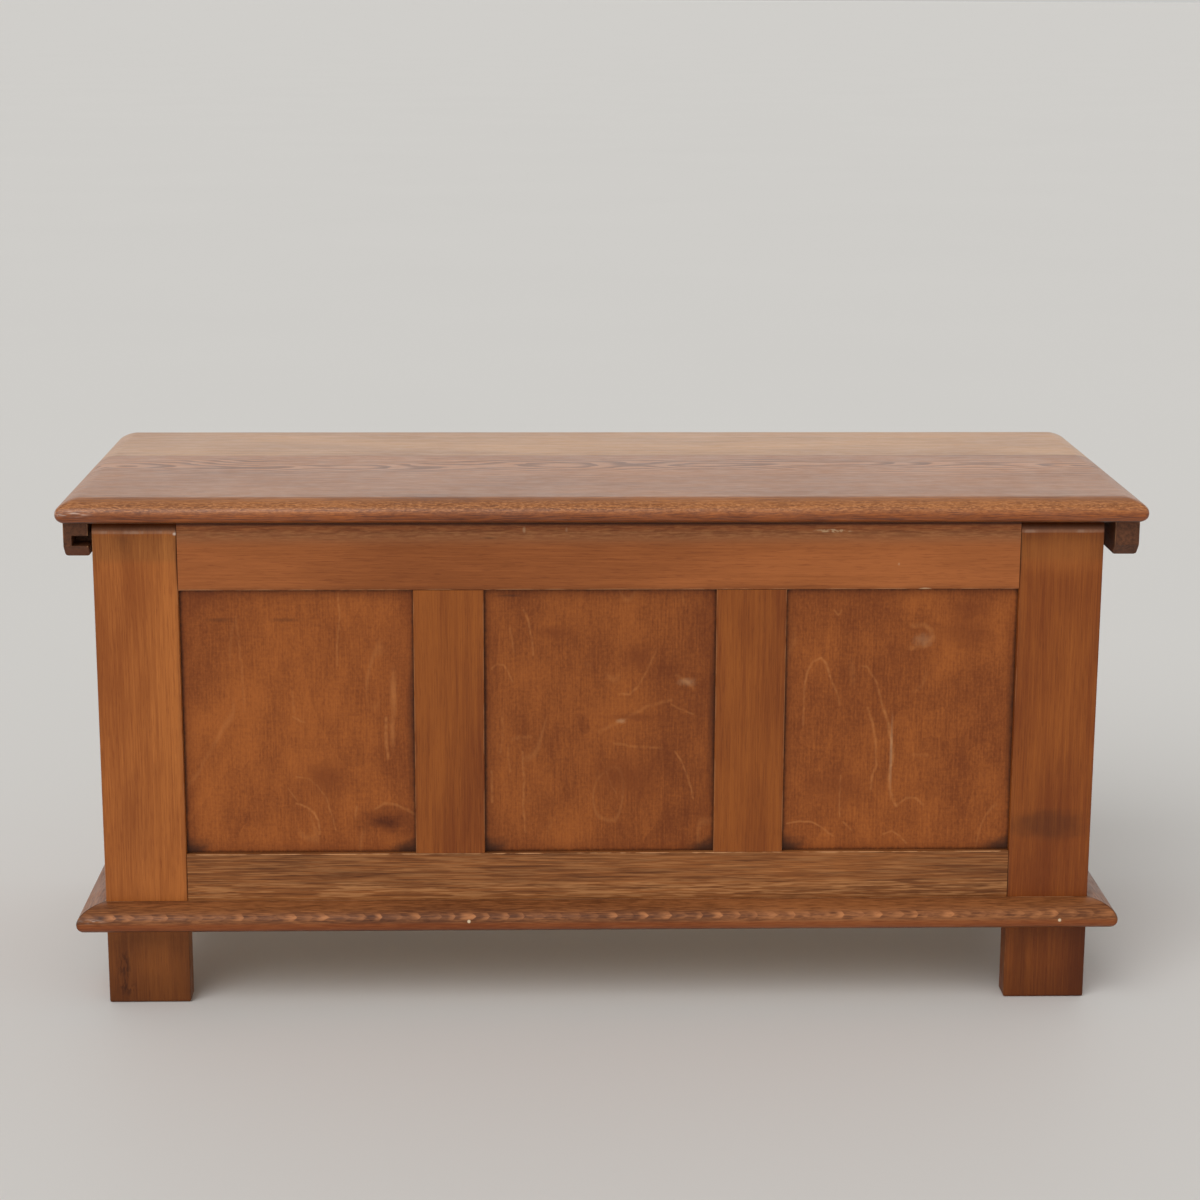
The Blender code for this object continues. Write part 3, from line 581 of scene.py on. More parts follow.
@shader_group
def mitre_line(wires, position=ORIGIN, corner=(0.5, -0.2, 0), width=0.001):
    """Dark line where two mouldings meet at a mitre, at either end of the front one."""
    x, y, _ = position.split()
    corner_x, corner_y, _ = corner.split()
    return {"mask": abs(abs(x) + y - (corner_x + corner_y)).faded(0.0, width)}


@shader_group
def figure_stroke(
    wires, position=ORIGIN, start=ORIGIN, end=(0, 0, 1), width=0.0015, strength=0.4
):
    """One straight stroke of a thin figure line, from one place on a face to another."""
    along, away = end - start, position - start
    share = (away.dot(along) / along.dot(along)).most(0.0).least(1.0)
    return {"mask": (away - along.scaled(share)).length().faded(0.0, width) * strength}


@shader_group
def unsteady_line(wires, position=ORIGIN, swing=0.003):
    """A place moved a little to and fro, and how far a drawn line comes and goes there."""
    across = position.stretched(95, 95).noise(2).swing(1.0)
    up = (position.stretched(95, 95) + (7, 3, 5)).noise(2).swing(1.0)
    strength = position.stretched(130, 130).noise(2).eased(0.36, 0.62, 0.45, 1.15)
    return {"position": position + wires.join(across, up).scaled(swing), "strength": strength}


# Finishes


@dataclass(frozen=True)
class Finish:
    """How one kind of timber looks. Its two colours are named in the settings."""

    colour: str
    line_density: float
    line_breaks: float
    lines: float
    fibres: float
    pores: float
    clouds: float
    roughness: float
    coat: float
    rubbed: float
    grime: float
    gloss: float = 0.22
    smudges: float = 0.20
    sway: float = 0.011


FINISHES = {
    "stile": Finish("stile", 240, 5.0, 0.36, 0.5, 0.36, 0.68, 0.42, 0.06, 0.22, 0.2),
    "muntin": Finish("muntin", 240, 5.0, 0.42, 0.5, 0.32, 0.95, 0.42, 0.06, 0.2, 0.15),
    "top_rail": Finish("rail", 420, 9.0, 0.26, 0.42, 0.42, 0.62, 0.42, 0.06, 0.35, 0.3),
    "bottom_rail": Finish(
        "low_rail", 600, 8.0, 0.42, 0.5, 0.45, 0.36, 0.44, 0.06, 0.8, 0.25, sway=0.0006
    ),
    "base": Finish("base", 900, 60.0, 0.75, 0.5, 0.6, 0.55, 0.4, 0.1, 0.6, 0.4, sway=0.004),
    "lid_front": Finish("lid", 900, 40.0, 0.6, 0.45, 0.5, 0.42, 0.38, 0.29, 0.25, 0.2, 0.5, 0.06),
    "lid_rear": Finish("rear", 420, 5.0, 0.75, 0.5, 0.5, 0.55, 0.38, 0.29, 0.25, 0.2, 0.5, 0.06),
    "cleat": Finish("cleat", 300, 3.0, 0.8, 0.5, 0.4, 0.6, 0.42, 0.05, 0.4, 0.2),
    "back": Finish("rail", 300, 2.2, 0.5, 0.4, 0.4, 0.6, 0.5, 0.03, 0.3, 0.4),
    "pine": Finish("pine", 190, 1.5, 0.9, 0.35, 0.05, 0.45, 0.62, 0.0, 0.2, 0.3),
}


class Tone(tuple):
    """A colour that darkens the wood under a mark, where any other colour covers it."""

    def __new__(cls, *shares):
        return super().__new__(cls, shares)


@dataclass(frozen=True)
class Mark:
    """A soft spot on a piece. Flecks break it up, with their waves along and across the grain."""

    centre: tuple
    reach: tuple
    colour: tuple
    strength: float = 0.8
    ragged: float = 0.6
    core: float = 0.3
    flecks: tuple = None
    scales: bool = False


@dataclass(frozen=True)
class Pith:
    """Where a flat-sawn board's pith lies, and how its rings run and show."""

    shift: tuple
    depth: float
    taper: float
    wander: float
    strength: float


# The marks' colours, by what they stand for
STAIN_DARK = screen_colour(64, 34, 18)
CHIP_PALE = screen_colour(206, 168, 128)
FILLER = screen_colour(226, 204, 170)
# Painted highlight along the round top of each front stile
WAX_BLOOM = screen_colour(190, 152, 128)
# Painted shade on a stile's round top under the lid's edge, greyed by a painted sheen
BLOOM_GREY = screen_colour(118, 84, 66)
FLECK_PALE = screen_colour(204, 144, 90)
# Ray flecks of the lid's rolled edge, with a painted highlight on its upper part
ROLL_LIGHT = screen_colour(204, 136, 82)
PALE_GLINT = screen_colour(236, 214, 198)
# Greyish haze on the top rail's upper band, with painted light that evens out the shade under the
# lid
RAIL_HAZE = screen_colour(158, 102, 64)
# Painted shadow in the gap under the lid's front edge
GAP_DARK = screen_colour(34, 16, 8)
CLEAT_RED = screen_colour(112, 60, 32)
# Painted highlight along the base moulding's nose, broken into scales
NOSE_LIGHT = screen_colour(194, 126, 76)
NOSE_RED = screen_colour(148, 70, 24)
NOSE_TOP = screen_colour(176, 112, 66)
GAP_SHADE = Tone(0.34, 0.27, 0.2)

# Bumps: their strength, and their depth in metres
TIMBER_BUMP = (0.22, 0.0006)
VENEER_BUMP = (0.12, 0.0004)
METAL_BUMP = (0.12, 0.0001)

# How strongly stain shows at a panel's border, beside it, and at the moulding's mitres
BORDER_SHOWN = 0.72
POOL_SHOWN = 0.3
MITRE_SHOWN = 0.7

# A mitre line is as much wider than a rubbed arris
MITRE_SPREAD = 1.4

# Stain pooled up a panel's sides, by side, half width and strength, and in its lower corners
UPRIGHT_POOLS = ((-1, 0.0042, 0.4), (1, 0.0085, 0.55))
UPRIGHT_POOL_CORE = 0.1
POOL_OVERRUN = 1.05
CORNER_POOL = (0.034, 0.02)
CORNER_POOL_SHOWN = 0.9
CORNER_POOL_CORE = 0.2
POOL_DEPTH = 0.05
POOL_RAGGED = 0.8

# Grime on an arris is as much lighter than the stain
GRIME_SHADE = 1.6

# Roughness: how far smudges take it from a finish's own, and what pores and bare wood add
SMOOTHEST_SMUDGE = 0.35
DULLEST_SMUDGE = 0.65
PORES_ROUGHER = 0.12
BARE_ROUGHER = 0.2

# Roughness of the wax coat and of the floor
WAX_ROUGHNESS = 0.28
FLOOR_ROUGHNESS = 0.62

# How calm the grain is on a lid board's flat, and how its rings differ from each other
FLAT_GRAIN_SHARE = 0.62
RING_SHADE_SWING = 0.35

# The panels' drawn lines: how far they waver, and what scales their widths and strengths
STROKE_WAVER = 0.0028
STROKE_SPREAD = 1.45
STROKE_SHARE = 0.88


def colours():
    return bpy.context.scene.chest_colours


def sizes():
    return bpy.context.scene.chest_sizes


def start_material(name):
    material = bpy.data.materials.new(name)
    material.use_nodes = True
    material.node_tree.nodes.clear()
    return material, Wiring(material.node_tree)


def shaded(colour, shade):
    """A colour times a shade, and still within the light that a surface can give back."""
    return tuple(min(1.0, value * shade) for value in colour)


def grain_turn(node_name, grain):
    """The turn and shift of the pattern on one piece, which no other piece shares."""
    order = sorted(frame["nodes"]).index(node_name)
    return GRAIN_TURNS[grain], [order * SEED_STEP * share for share in SEED_SHARES]


def marks_at(y, *rows):
    """Marks on a face at that Y, from rows of X, Z, half sizes and the rest of a Mark."""
    return tuple(Mark((x, y, z), reach, *rest) for x, z, reach, *rest in rows)


def add_marks(wires, place, grain, colour, marks):
    for mark in marks:
        spot = {key: getattr(mark, key) for key in ("centre", "reach", "ragged", "core")}
        shown = soft_spot(wires, position=place, **spot).mask * mark.strength
        if mark.flecks:
            along, across = mark.flecks
            shown = shown * broken_flecks(wires, position=grain, along=along, across=across).mask
        if mark.scales:
            shown = shown * nose_scales(wires, position=place, level=mark.centre[2]).mask
        blend = "MULTIPLY" if isinstance(mark.colour, Tone) else "MIX"
        colour = shown.mixed(colour, mark.colour, blend)
    return colour


def finish_grain(wires, along, finish, pale, dark, calm=None, **figure):
    """The grain of one finish. A calm place shows less of its lines, fibres and pores."""
    shown = {key: getattr(finish, key) for key in ("lines", "fibres", "pores")}
    if calm:
        shown = {key: calm * value for key, value in shown.items()}
    same = {key: getattr(finish, key) for key in ("line_density", "line_breaks", "clouds", "sway")}
    return timber_grain(wires, position=along, pale=pale, dark=dark, **shown, **same, **figure)


def board_rings(wires, node_name, place, along, pith):
    """A lid board's rings, how strongly they show, and how calm its other grain is."""
    rings = ring_figure(
        wires,
        position=along,
        pith_depth=pith.depth,
        ring_width=sizes().ring_width,
        taper=pith.taper,
        wander=pith.wander,
    )
    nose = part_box(node_name)[0].y
    inward = place.split()[1].eased(nose + ROLL_REACH * 0.6, nose + ROLL_REACH * 2)
    return {
        "figure": rings.figure + rings.shade.swing(RING_SHADE_SWING),
        "figure_strength": inward * pith.strength,
        "calm": inward.eased(0.0, 1.0, 1.0, FLAT_GRAIN_SHARE),
    }


def bare_mask(wires, place, inward, low, high):
    """Where a frame piece is left unstained: its inner face, and its edges up to the panel."""
    inward = Vector(inward)
    stile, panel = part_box("front_stile_right")[1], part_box("front_panel_right")[1]
    return bare_side(
        wires,
        position=place,
        inward=inward,
        face=max(inward.dot(low), inward.dot(high)),
        reveal=stile.y - panel.y,
        half_width=stile.x,
        foot=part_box("front_bottom_rail")[0].z,
        top=stile.z,
    ).mask


def timber_material(node_name, kind, cut, bare=None, shade=1.0, marks=(), pith=None):
    """Stained, waxed and worn timber cut along an axis. Bare is how an unstained side faces."""
    finish = FINISHES[kind]
    palette, lengths = colours(), sizes()
    material, wires = start_material(f"{node_name} timber")
    low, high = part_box(node_name)
    place = wires.place()
    turn, shift = grain_turn(node_name, cut)
    along = place.turned(turn, pith.shift if pith else shift)
    rings = board_rings(wires, node_name, place, along, pith) if pith else {}
    pale = shaded(getattr(palette, f"{finish.colour}_pale"), shade)
    dark = shaded(getattr(palette, f"{finish.colour}_dark"), shade)
    grain = finish_grain(wires, along, finish, pale, dark, **rings)
    wear = arris_wear(
        wires,
        position=place,
        centre=(low + high) / 2,
        half_size=(high - low) / 2,
        rubbed_width=lengths.wear_width,
        grime_width=lengths.grime_width,
    )
    colour = (wear.grime * finish.grime).mixed(grain.color, shaded(palette.stain, GRIME_SHADE))
    colour = (wear.rubbed * finish.rubbed).mixed(colour, palette.rubbed)
    smoothest = finish.roughness - finish.smudges * SMOOTHEST_SMUDGE
    dullest = finish.roughness + finish.smudges * DULLEST_SMUDGE
    smudged = handling(wires, position=along, scale=1.0).value
    roughness = smudged.eased(0.0, 1.0, smoothest, dullest) + grain.pores * PORES_ROUGHER
    if kind == "base":
        width = lengths.wear_width * MITRE_SPREAD
        mitre = mitre_line(wires, position=place, corner=MITRE_CORNER, width=width).mask
        colour = (mitre * MITRE_SHOWN).mixed(colour, palette.stain)
    colour = add_marks(wires, place, along, colour, marks)
    if bare:
        inner = finish_grain(wires, along, FINISHES["back"], palette.bare_pale, palette.bare_dark)
        inside = bare_mask(wires, place, bare, low, high)
        colour = inside.mixed(colour, inner.color)
        roughness = roughness + inside * BARE_ROUGHER
    coat = finish.coat
    if pith:
        film = along.stretched(44, 110).noise(2, 0.65).eased(0.3, 0.7, 0.5, 1.35)
        coat = film * rings["figure"].eased(0.0, 1.1, 0.35, 1.1) * coat
    inputs = {"Base Color": colour, "Roughness": roughness, "Coat Weight": coat}
    inputs.update({"Specular IOR Level": finish.gloss, "Coat Roughness": WAX_ROUGHNESS})
    wires.cover(inputs, grain.height, TIMBER_BUMP)
    return material


def drawn_lines(wires, flat, strokes):
    """Where the thin lines of a veneer's figure show, from rows such as LEFT_STROKES holds."""
    unsteady = unsteady_line(wires, position=flat, swing=STROKE_WAVER)
    drawn = 0.0
    for width, strength, *spots in strokes:
        for start, end in zip(spots, spots[1:]):
            ends = {"start": (*start, 0), "end": (*end, 0)}
            look = {"width": width * STROKE_SPREAD, "strength": strength * STROKE_SHARE}
            stroke = figure_stroke(wires, position=unsteady.position, **ends, **look)
            drawn = stroke.mask.most(drawn)
    return drawn * unsteady.strength


def pooled_stain(node_name, axis, middle, half):
    """Marks of the stain gathered up a panel's sides and in its lower corners."""
    low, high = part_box(node_name)
    marks = []
    for side, wide, strength in UPRIGHT_POOLS:
        upright = (middle[1], wide, half[1] * POOL_OVERRUN, strength, UPRIGHT_POOL_CORE)
        corner = (middle[1] - half[1], *CORNER_POOL, CORNER_POOL_SHOWN, CORNER_POOL_CORE)
        for z, reach, tall, shown, core in (upright, corner):
            place, size = (low + high) / 2, [POOL_DEPTH, POOL_DEPTH, tall]
            place[axis], place.z, size[axis] = middle[0] + side * half[0], z, reach
            marks.append(Mark(place, size, colours().stain, shown, POOL_RAGGED, core))
    return marks


def bare_birch(wires, along, line, bands, lines):
    palette = colours()
    tones = {"pale": palette.birch_pale, "dark": palette.birch_dark, "line": line}
    return rotary_veneer(wires, position=along, bands=bands, lines=lines, clouds=0.5, **tones)


def veneer_material(node_name, outward, marks=(), strokes=(), shade=1.0):
    """Stained rotary-cut veneer, with the stain gathered where the panel meets its frame."""
    palette, lengths = colours(), sizes()
    material, wires = start_material(f"{node_name} veneer")
    low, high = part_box(node_name)
    axis = 1 if outward[0] else 0
    middle = ((low[axis] + high[axis]) / 2, (low.z + high.z) / 2, 0)
    half = ((high[axis] - low[axis]) / 2 - PANEL_ENTRY, (high.z - low.z) / 2 - PANEL_ENTRY, 0)
    place = wires.place()
    along = place.turned(*grain_turn(node_name, "Z"))
    stained = rotary_veneer(
        wires,
        position=along,
        pale=shaded(palette.panel_pale, shade),
        dark=shaded(palette.panel_dark, shade),
        line=shaded(palette.panel_line, shade),
        bands=4.0,
        lines=0.22,
        clouds=0.38,
    )
    x, y, z = place.split()
    flat = wires.join((x, y)[axis], z)
    width, corner = lengths.border_width, lengths.corner_radius
    border = {"position": flat, "centre": middle, "half_size": half, "corner": corner}
    line = stained_border(wires, **border, width=width, ragged=width * 1.3).mask
    pool = stained_border(wires, **border, width=width * 5, ragged=width * 4).mask
    colour = (pool * POOL_SHOWN).mixed(stained.color, palette.panel_dark)
    if strokes:
        colour = drawn_lines(wires, flat, strokes).mixed(colour, palette.panel_line)
    marks = (*marks, *pooled_stain(node_name, axis, middle, half))
    colour = add_marks(wires, place, along, colour, marks)
    colour = (line * BORDER_SHOWN).mixed(colour, palette.stain)
    bare = bare_birch(wires, along, palette.birch_dark, 6.0, 0.4)
    hidden = facing(wires, direction=tuple(-value for value in outward)).mask
    smudged = handling(wires, position=along, scale=1.4).value
    inputs = {
        "Base Color": hidden.mixed(colour, bare.color),
        "Roughness": smudged.eased(0.0, 1.0, 0.36, 0.54) + hidden * 0.16,
        "Specular IOR Level": 0.22,
        "Coat Weight": 0.05,
        "Coat Roughness": 0.3,
    }
    wires.cover(inputs, stained.height, VENEER_BUMP)
    return material


def bottom_material(node_name):
    """Bare birch plywood, dusty and a little scuffed."""
    material, wires = start_material(f"{node_name} birch")
    place = wires.place()
    along = place.turned(*grain_turn(node_name, "X"))
    bare_dark = colours().bare_dark
    veneer = bare_birch(wires, along, bare_dark, 8.0, 0.45)
    scuffs = scratches(wires, position=along, amount=0.5).mask
    smudged = handling(wires, position=place, scale=0.8).value
    roughness = smudged.eased(0.0, 1.0, 0.52, 0.72)
    inputs = {"Base Color": scuffs.mixed(veneer.color, bare_dark), "Roughness": roughness}
    wires.cover(inputs, veneer.height, VENEER_BUMP)
    return material


def metal_material(name, colour, roughness, tarnish):
    """Handled metal: tarnish in patches and fine wear."""
    material, wires = start_material(name)
    place = wires.place()
    patches = place.stretched(140, 140).noise(4, 0.6)
    inputs = {
        "Base Color": (patches.eased(0.42, 0.62) * 0.7).mixed(colour, screen_colour(*tarnish)),
        "Roughness": patches.eased(0.3, 0.7, roughness, roughness + 0.25),
        "Metallic": 1.0,
    }
    wires.cover(inputs, place.stretched(260, 2600).noise(2), METAL_BUMP)
    return material


# Thin light lines on the front panels: width, strength, and places across and up
LEFT_STROKES = (
    (
        0.0011, 0.3,
        (-0.305, 0.238), (-0.293, 0.236), (-0.284, 0.228), (-0.275, 0.214), (-0.271, 0.198),
        (-0.267, 0.182),
    ),
    (
        0.0014, 0.5,
        (-0.306, 0.21), (-0.296, 0.206), (-0.289, 0.201), (-0.284, 0.192), (-0.283, 0.178),
    ),
    (0.0013, 0.45, (-0.307, 0.301), (-0.3, 0.296), (-0.296, 0.295)),
    (0.0013, 0.25, (-0.308, 0.327), (-0.306, 0.306)),
    (0.0012, 0.3, (-0.26, 0.427), (-0.259, 0.405), (-0.262, 0.375), (-0.262, 0.354)),
    (0.002, 0.45, (-0.214, 0.299), (-0.215, 0.281), (-0.213, 0.257)),
    (0.0014, 0.18, (-0.362, 0.404), (-0.36, 0.385), (-0.357, 0.348), (-0.356, 0.306)),
    (0.0014, 0.3, (-0.245, 0.206), (-0.247, 0.194)),
    (
        0.0018, 0.4,
        (-0.227, 0.203), (-0.217, 0.21), (-0.205, 0.208), (-0.196, 0.204), (-0.187, 0.198),
    ),
    (0.001, 0.25, (-0.314, 0.226), (-0.304, 0.212)),
)
CENTRE_STROKES = (
    (0.0013, 0.35, (-0.076, 0.41), (-0.071, 0.398), (-0.068, 0.378), (-0.067, 0.364)),
    (0.0014, 0.28, (-0.09, 0.391), (-0.088, 0.379), (-0.086, 0.367)),
    (
        0.0012, 0.28,
        (-0.108, 0.35), (-0.103, 0.355), (-0.096, 0.353), (-0.092, 0.347), (-0.087, 0.336),
    ),
    (0.0018, 0.2, (-0.098, 0.305), (-0.097, 0.281), (-0.1, 0.263)),
    (0.0014, 0.35, (-0.109, 0.243), (-0.108, 0.211)),
    (0.0014, 0.32, (-0.078, 0.263), (-0.076, 0.235), (-0.077, 0.207), (-0.075, 0.179)),
    (0.0014, 0.2, (-0.092, 0.267), (-0.09, 0.242)),
    (0.0016, 0.35, (0.02, 0.323), (0.03, 0.323), (0.037, 0.329)),
    (0.0014, 0.22, (0.037, 0.329), (0.047, 0.346), (0.057, 0.37)),
    (0.0013, 0.38, (0.076, 0.263), (0.083, 0.252), (0.09, 0.235), (0.095, 0.214)),
    (0.001, 0.3, (0.007, 0.242), (0.012, 0.228), (0.017, 0.219)),
    (0.0022, 0.32, (0.077, 0.343), (0.085, 0.338), (0.094, 0.329)),
    (0.0012, 0.28, (0.072, 0.312), (0.084, 0.306), (0.094, 0.302)),
    (0.0022, 0.2, (0, 0.284), (0.027, 0.298), (0.047, 0.31), (0.072, 0.317)),
    (0.0016, 0.24, (0.014, 0.272), (0.037, 0.268), (0.063, 0.267)),
    (0.0024, 0.22, (-0.087, 0.277), (-0.07, 0.279)),
)
RIGHT_STROKES = (
    (
        0.0014, 0.5,
        (0.206, 0.332), (0.208, 0.346), (0.214, 0.356), (0.222, 0.36), (0.228, 0.353),
        (0.231, 0.341),
    ),
    (0.0013, 0.28, (0.205, 0.29), (0.206, 0.332)),
    (0.0013, 0.28, (0.231, 0.341), (0.238, 0.325), (0.242, 0.311)),
    (0.0014, 0.32, (0.261, 0.351), (0.268, 0.351), (0.278, 0.335), (0.286, 0.307)),
    (
        0.0019, 0.52,
        (0.286, 0.307), (0.291, 0.293), (0.293, 0.28), (0.297, 0.266), (0.297, 0.251),
        (0.293, 0.241), (0.294, 0.227), (0.297, 0.213), (0.302, 0.205),
    ),
    (0.0015, 0.35, (0.302, 0.205), (0.312, 0.213), (0.322, 0.213), (0.329, 0.205)),
    (
        0.0015, 0.4,
        (0.27, 0.308), (0.274, 0.297), (0.279, 0.272), (0.28, 0.248), (0.276, 0.234),
        (0.275, 0.223),
    ),
    (0.001, 0.48, (0.244, 0.237), (0.244, 0.193)),
    (0.0012, 0.42, (0.191, 0.187), (0.204, 0.189), (0.216, 0.188), (0.228, 0.181), (0.238, 0.173)),
    (0.0012, 0.4, (0.289, 0.175), (0.298, 0.178), (0.307, 0.172), (0.313, 0.165)),
    (0.0012, 0.32, (0.248, 0.188), (0.257, 0.179)),
    (0.0013, 0.3, (0.234, 0.409), (0.238, 0.404), (0.241, 0.409)),
    (
        0.003, 0.35,
        (0.312, 0.37), (0.324, 0.372), (0.334, 0.38), (0.332, 0.388), (0.324, 0.394),
        (0.313, 0.393),
    ),
    (0.0022, 0.2, (0.316, 0.325), (0.325, 0.331), (0.328, 0.344)),
    (0.0022, 0.22, (0.318, 0.259), (0.331, 0.258)),
)


# Pieces

BODIES = frame["record"]["behaviour"]["bodies"].items()
BODY_OF = {node: body for body, nodes in BODIES for node in nodes}


def select_only(piece):
    bpy.ops.object.select_all(action="DESELECT")
    piece.select_set(True)
    bpy.context.view_layer.objects.active = piece


def take_place(piece, node_name):
    """The piece rides with the CAD node's body and shows in its place, the node hidden."""
    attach(piece, BODY_OF[node_name])
    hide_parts(node_name)


def give_material(piece, material):
    piece.data.materials.clear()
    piece.data.materials.append(material)


def apply_modifier(piece, name, kind, **settings):
    made = piece.modifiers.new(name, kind)
    for key, value in settings.items():
        setattr(made, key, value)
    bpy.ops.object.modifier_apply(modifier=made.name)


def smooth_copy(node_name, ending, material):
    """A copy of a CAD node with its faces merged and its round edges shaded smooth."""
    mesh = frame["nodes"][node_name].data.copy()
    piece = bpy.data.objects.new(f"{node_name}_{ending}", mesh)
    bpy.context.scene.collection.objects.link(piece)
    select_only(piece)
    bpy.ops.object.mode_set(mode="EDIT")
    bpy.ops.mesh.select_all(action="SELECT")
    bpy.ops.mesh.remove_doubles(threshold=MERGE_DISTANCE)
    bpy.ops.mesh.dissolve_limited(angle_limit=FLAT_ANGLE)
    bpy.ops.object.mode_set(mode="OBJECT")
    bpy.ops.mesh.customdata_custom_splitnormals_clear()
    bpy.ops.object.shade_smooth_by_angle(angle=SMOOTH_ANGLE)
    apply_modifier(piece, "even shading", "WEIGHTED_NORMAL", keep_sharp=True)
    give_material(piece, material)
    take_place(piece, node_name)


def dress_timber(node_name, *wants, **more):
    """Dresses a timber piece, given what timber_material wants after the name."""
    smooth_copy(node_name, "wood", timber_material(node_name, *wants, **more))


def dress_panel(node_name, outward, *look):
    """Dresses a panel itself, since it has no round edges to smooth."""
    give_material(frame["nodes"][node_name], veneer_material(node_name, outward, *look))


def front_stile_marks(side):
    """Marks on a front stile: painted light and shade on its round top, painted shade at its foot.
    """
    low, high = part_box(f"front_stile_{side}")
    middle, half = (low.x + high.x) / 2, (high.x - low.x) / 2
    inner = high.x if side == "left" else low.x
    wide, bloom = half * 9, (half * 9, 0.006, 0.0024)
    foot_tone = Tone(0.48, 0.45, 0.39) if side == "left" else Tone(0.69, 0.66, 0.59)
    blotch, cool = Tone(0.66, 0.6, 0.54), Tone(0.88, 0.86, 0.88)
    broken = (1.0, 0.9, 0.0, (90, 300))
    rows = {
        "left": (
            (-0.4187, 0.4889, (0.0026, 0.004, 0.0022), PALE_GLINT, 0.85, 0.3, 0.2),
            (-0.4835, 0.038, (0.01, 0.004, 0.026), Tone(0.42, 0.38, 0.34), *broken),
            (-0.4815, 0.015, (0.014, 0.004, 0.012), Tone(0.48, 0.44, 0.4), *broken),
            (-0.47, 0.482, (0.012, 0.004, 0.02), Tone(0.66, 0.62, 0.6), 0.8, 1.2, 0.0),
        ),
        "right": (
            (0.457, 0.186, (0.052, 0.006, 0.021), STAIN_DARK, 0.42, 0.55, 0.35),
            (0.458, 0.468, (0.06, 0.004, 0.03), colours().stile_pale, 0.3, 0.4, 0.2),
        ),
    }
    return (
        # A painted highlight along the round top, in two layers
        Mark((middle, FRONT_Y + 0.001, 0.4906), bloom, WAX_BLOOM, 0.28, 0.2),
        Mark((middle, FRONT_Y + 0.001, 0.4906), bloom, WAX_BLOOM, 0.5, 0.2, 0.3, (30, 80)),
        *marks_at(
            FRONT_Y,
            # Painted shade and sheen on the round top, under the lid's edge
            (middle, 0.4945, (wide, 0.02, 0.0042), BLOOM_GREY, 0.62, 0.5),
            (middle, 0.5, (wide, 0.02, 0.0084), GAP_SHADE, 1.0, 0.1, 0.28),
            (middle, 0.474, (wide, 0.004, 0.017), Tone(0.88, 0.95, 1.0), 1.0, 0.3, 0.5),
            (inner, 0.465, (0.002, 0.004, 0.036), GAP_SHADE, 0.9, 0.1),
            (inner, 0.125, (0.0016, 0.004, 0.034), GAP_SHADE, 0.7, 0.1),
            # Painted shade round the foot, darker still at the floor
            (middle, 0.02, (half * 4, 0.06, 0.075), foot_tone, 1.0, 0.3, 0.55),
            (middle, -0.004, (wide, 0.06, 0.05), Tone(0.74, 0.7, 0.62), 1.0, 0.3, 0.1),
            (middle - half * 0.6, 0.04, (0.012, 0.004, 0.06), blotch, 0.7, 0.7, 0.1),
            (middle + half * 0.88, 0.045, (0.02, 0.004, 0.07), blotch, 0.8, 0.5, 0.2),
            (middle - half * 0.2, 0.17, (0.034, 0.004, 0.11), cool, 0.8, 1.2, 0.1),
            *rows[side],
        ),
    )


class CHEST_OT_stage(bpy.types.Operator):
    """Set the camera, the pale floor and the soft lights"""

    bl_idname = "chest.stage"
    bl_label = "Studio"

    def execute(self, context):
        bpy.ops.object.camera_add(location=CAMERA_PLACE, rotation=CAMERA_TURN)
        camera = context.object
        camera.name = "photo_camera"
        camera.data.lens = CAMERA_LENS_MM
        camera.data.sensor_width = CAMERA_SENSOR_MM
        camera.data.clip_end = CAMERA_REACH
        context.scene.camera = camera

        bpy.ops.object.select_all(action="DESELECT")
        bpy.ops.mesh.primitive_plane_add(size=sizes().floor_reach * 2)
        floor = context.object
        floor.name = "studio_floor"
        material, wires = start_material("Pale floor")
        drift = wires.place().stretched(0.8, 0.8).noise(2)
        tint = colours().floor
        tint = drift.mixed(shaded(tint, 0.97), tint)
        wires.cover({"Base Color": tint, "Roughness": FLOOR_ROUGHNESS})
        give_material(floor, material)
        floor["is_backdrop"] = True

        world = bpy.data.worlds.new("Studio")
        context.scene.world = world
        world.use_nodes = True
        wires = Wiring(world.node_tree)
        _, depth, height = wires.take("Generated", "ShaderNodeTexCoord").split()
        low = height.eased(0.0, 0.07, LOWEST_LIGHT, SIDE_LIGHT)
        high = height.eased(0.25, 0.65, 0.0, TOP_LIGHT - SIDE_LIGHT)
        band = height.eased(0.03, 0.12) * height.faded(0.3, 0.55)
        behind = depth.eased(0.1, 0.9, 0.0, REAR_LIGHT) * band
        inputs = world.node_tree.nodes["Background"].inputs
        wires.feed(inputs["Strength"], low + high + behind)
        wires.feed(inputs["Color"], tuple(colours().daylight))
        sun_turn = Vector(SUN_FROM).to_track_quat("Z", "Y").to_euler()
        bpy.ops.object.light_add(type="SUN", rotation=sun_turn)
        sun = context.object
        sun.name = "key_light"
        sun.data.angle = SUN_SPREAD
        sun.data.energy = SUN_STRENGTH
        context.scene.view_settings.view_transform = "Standard"
        return {"FINISHED"}


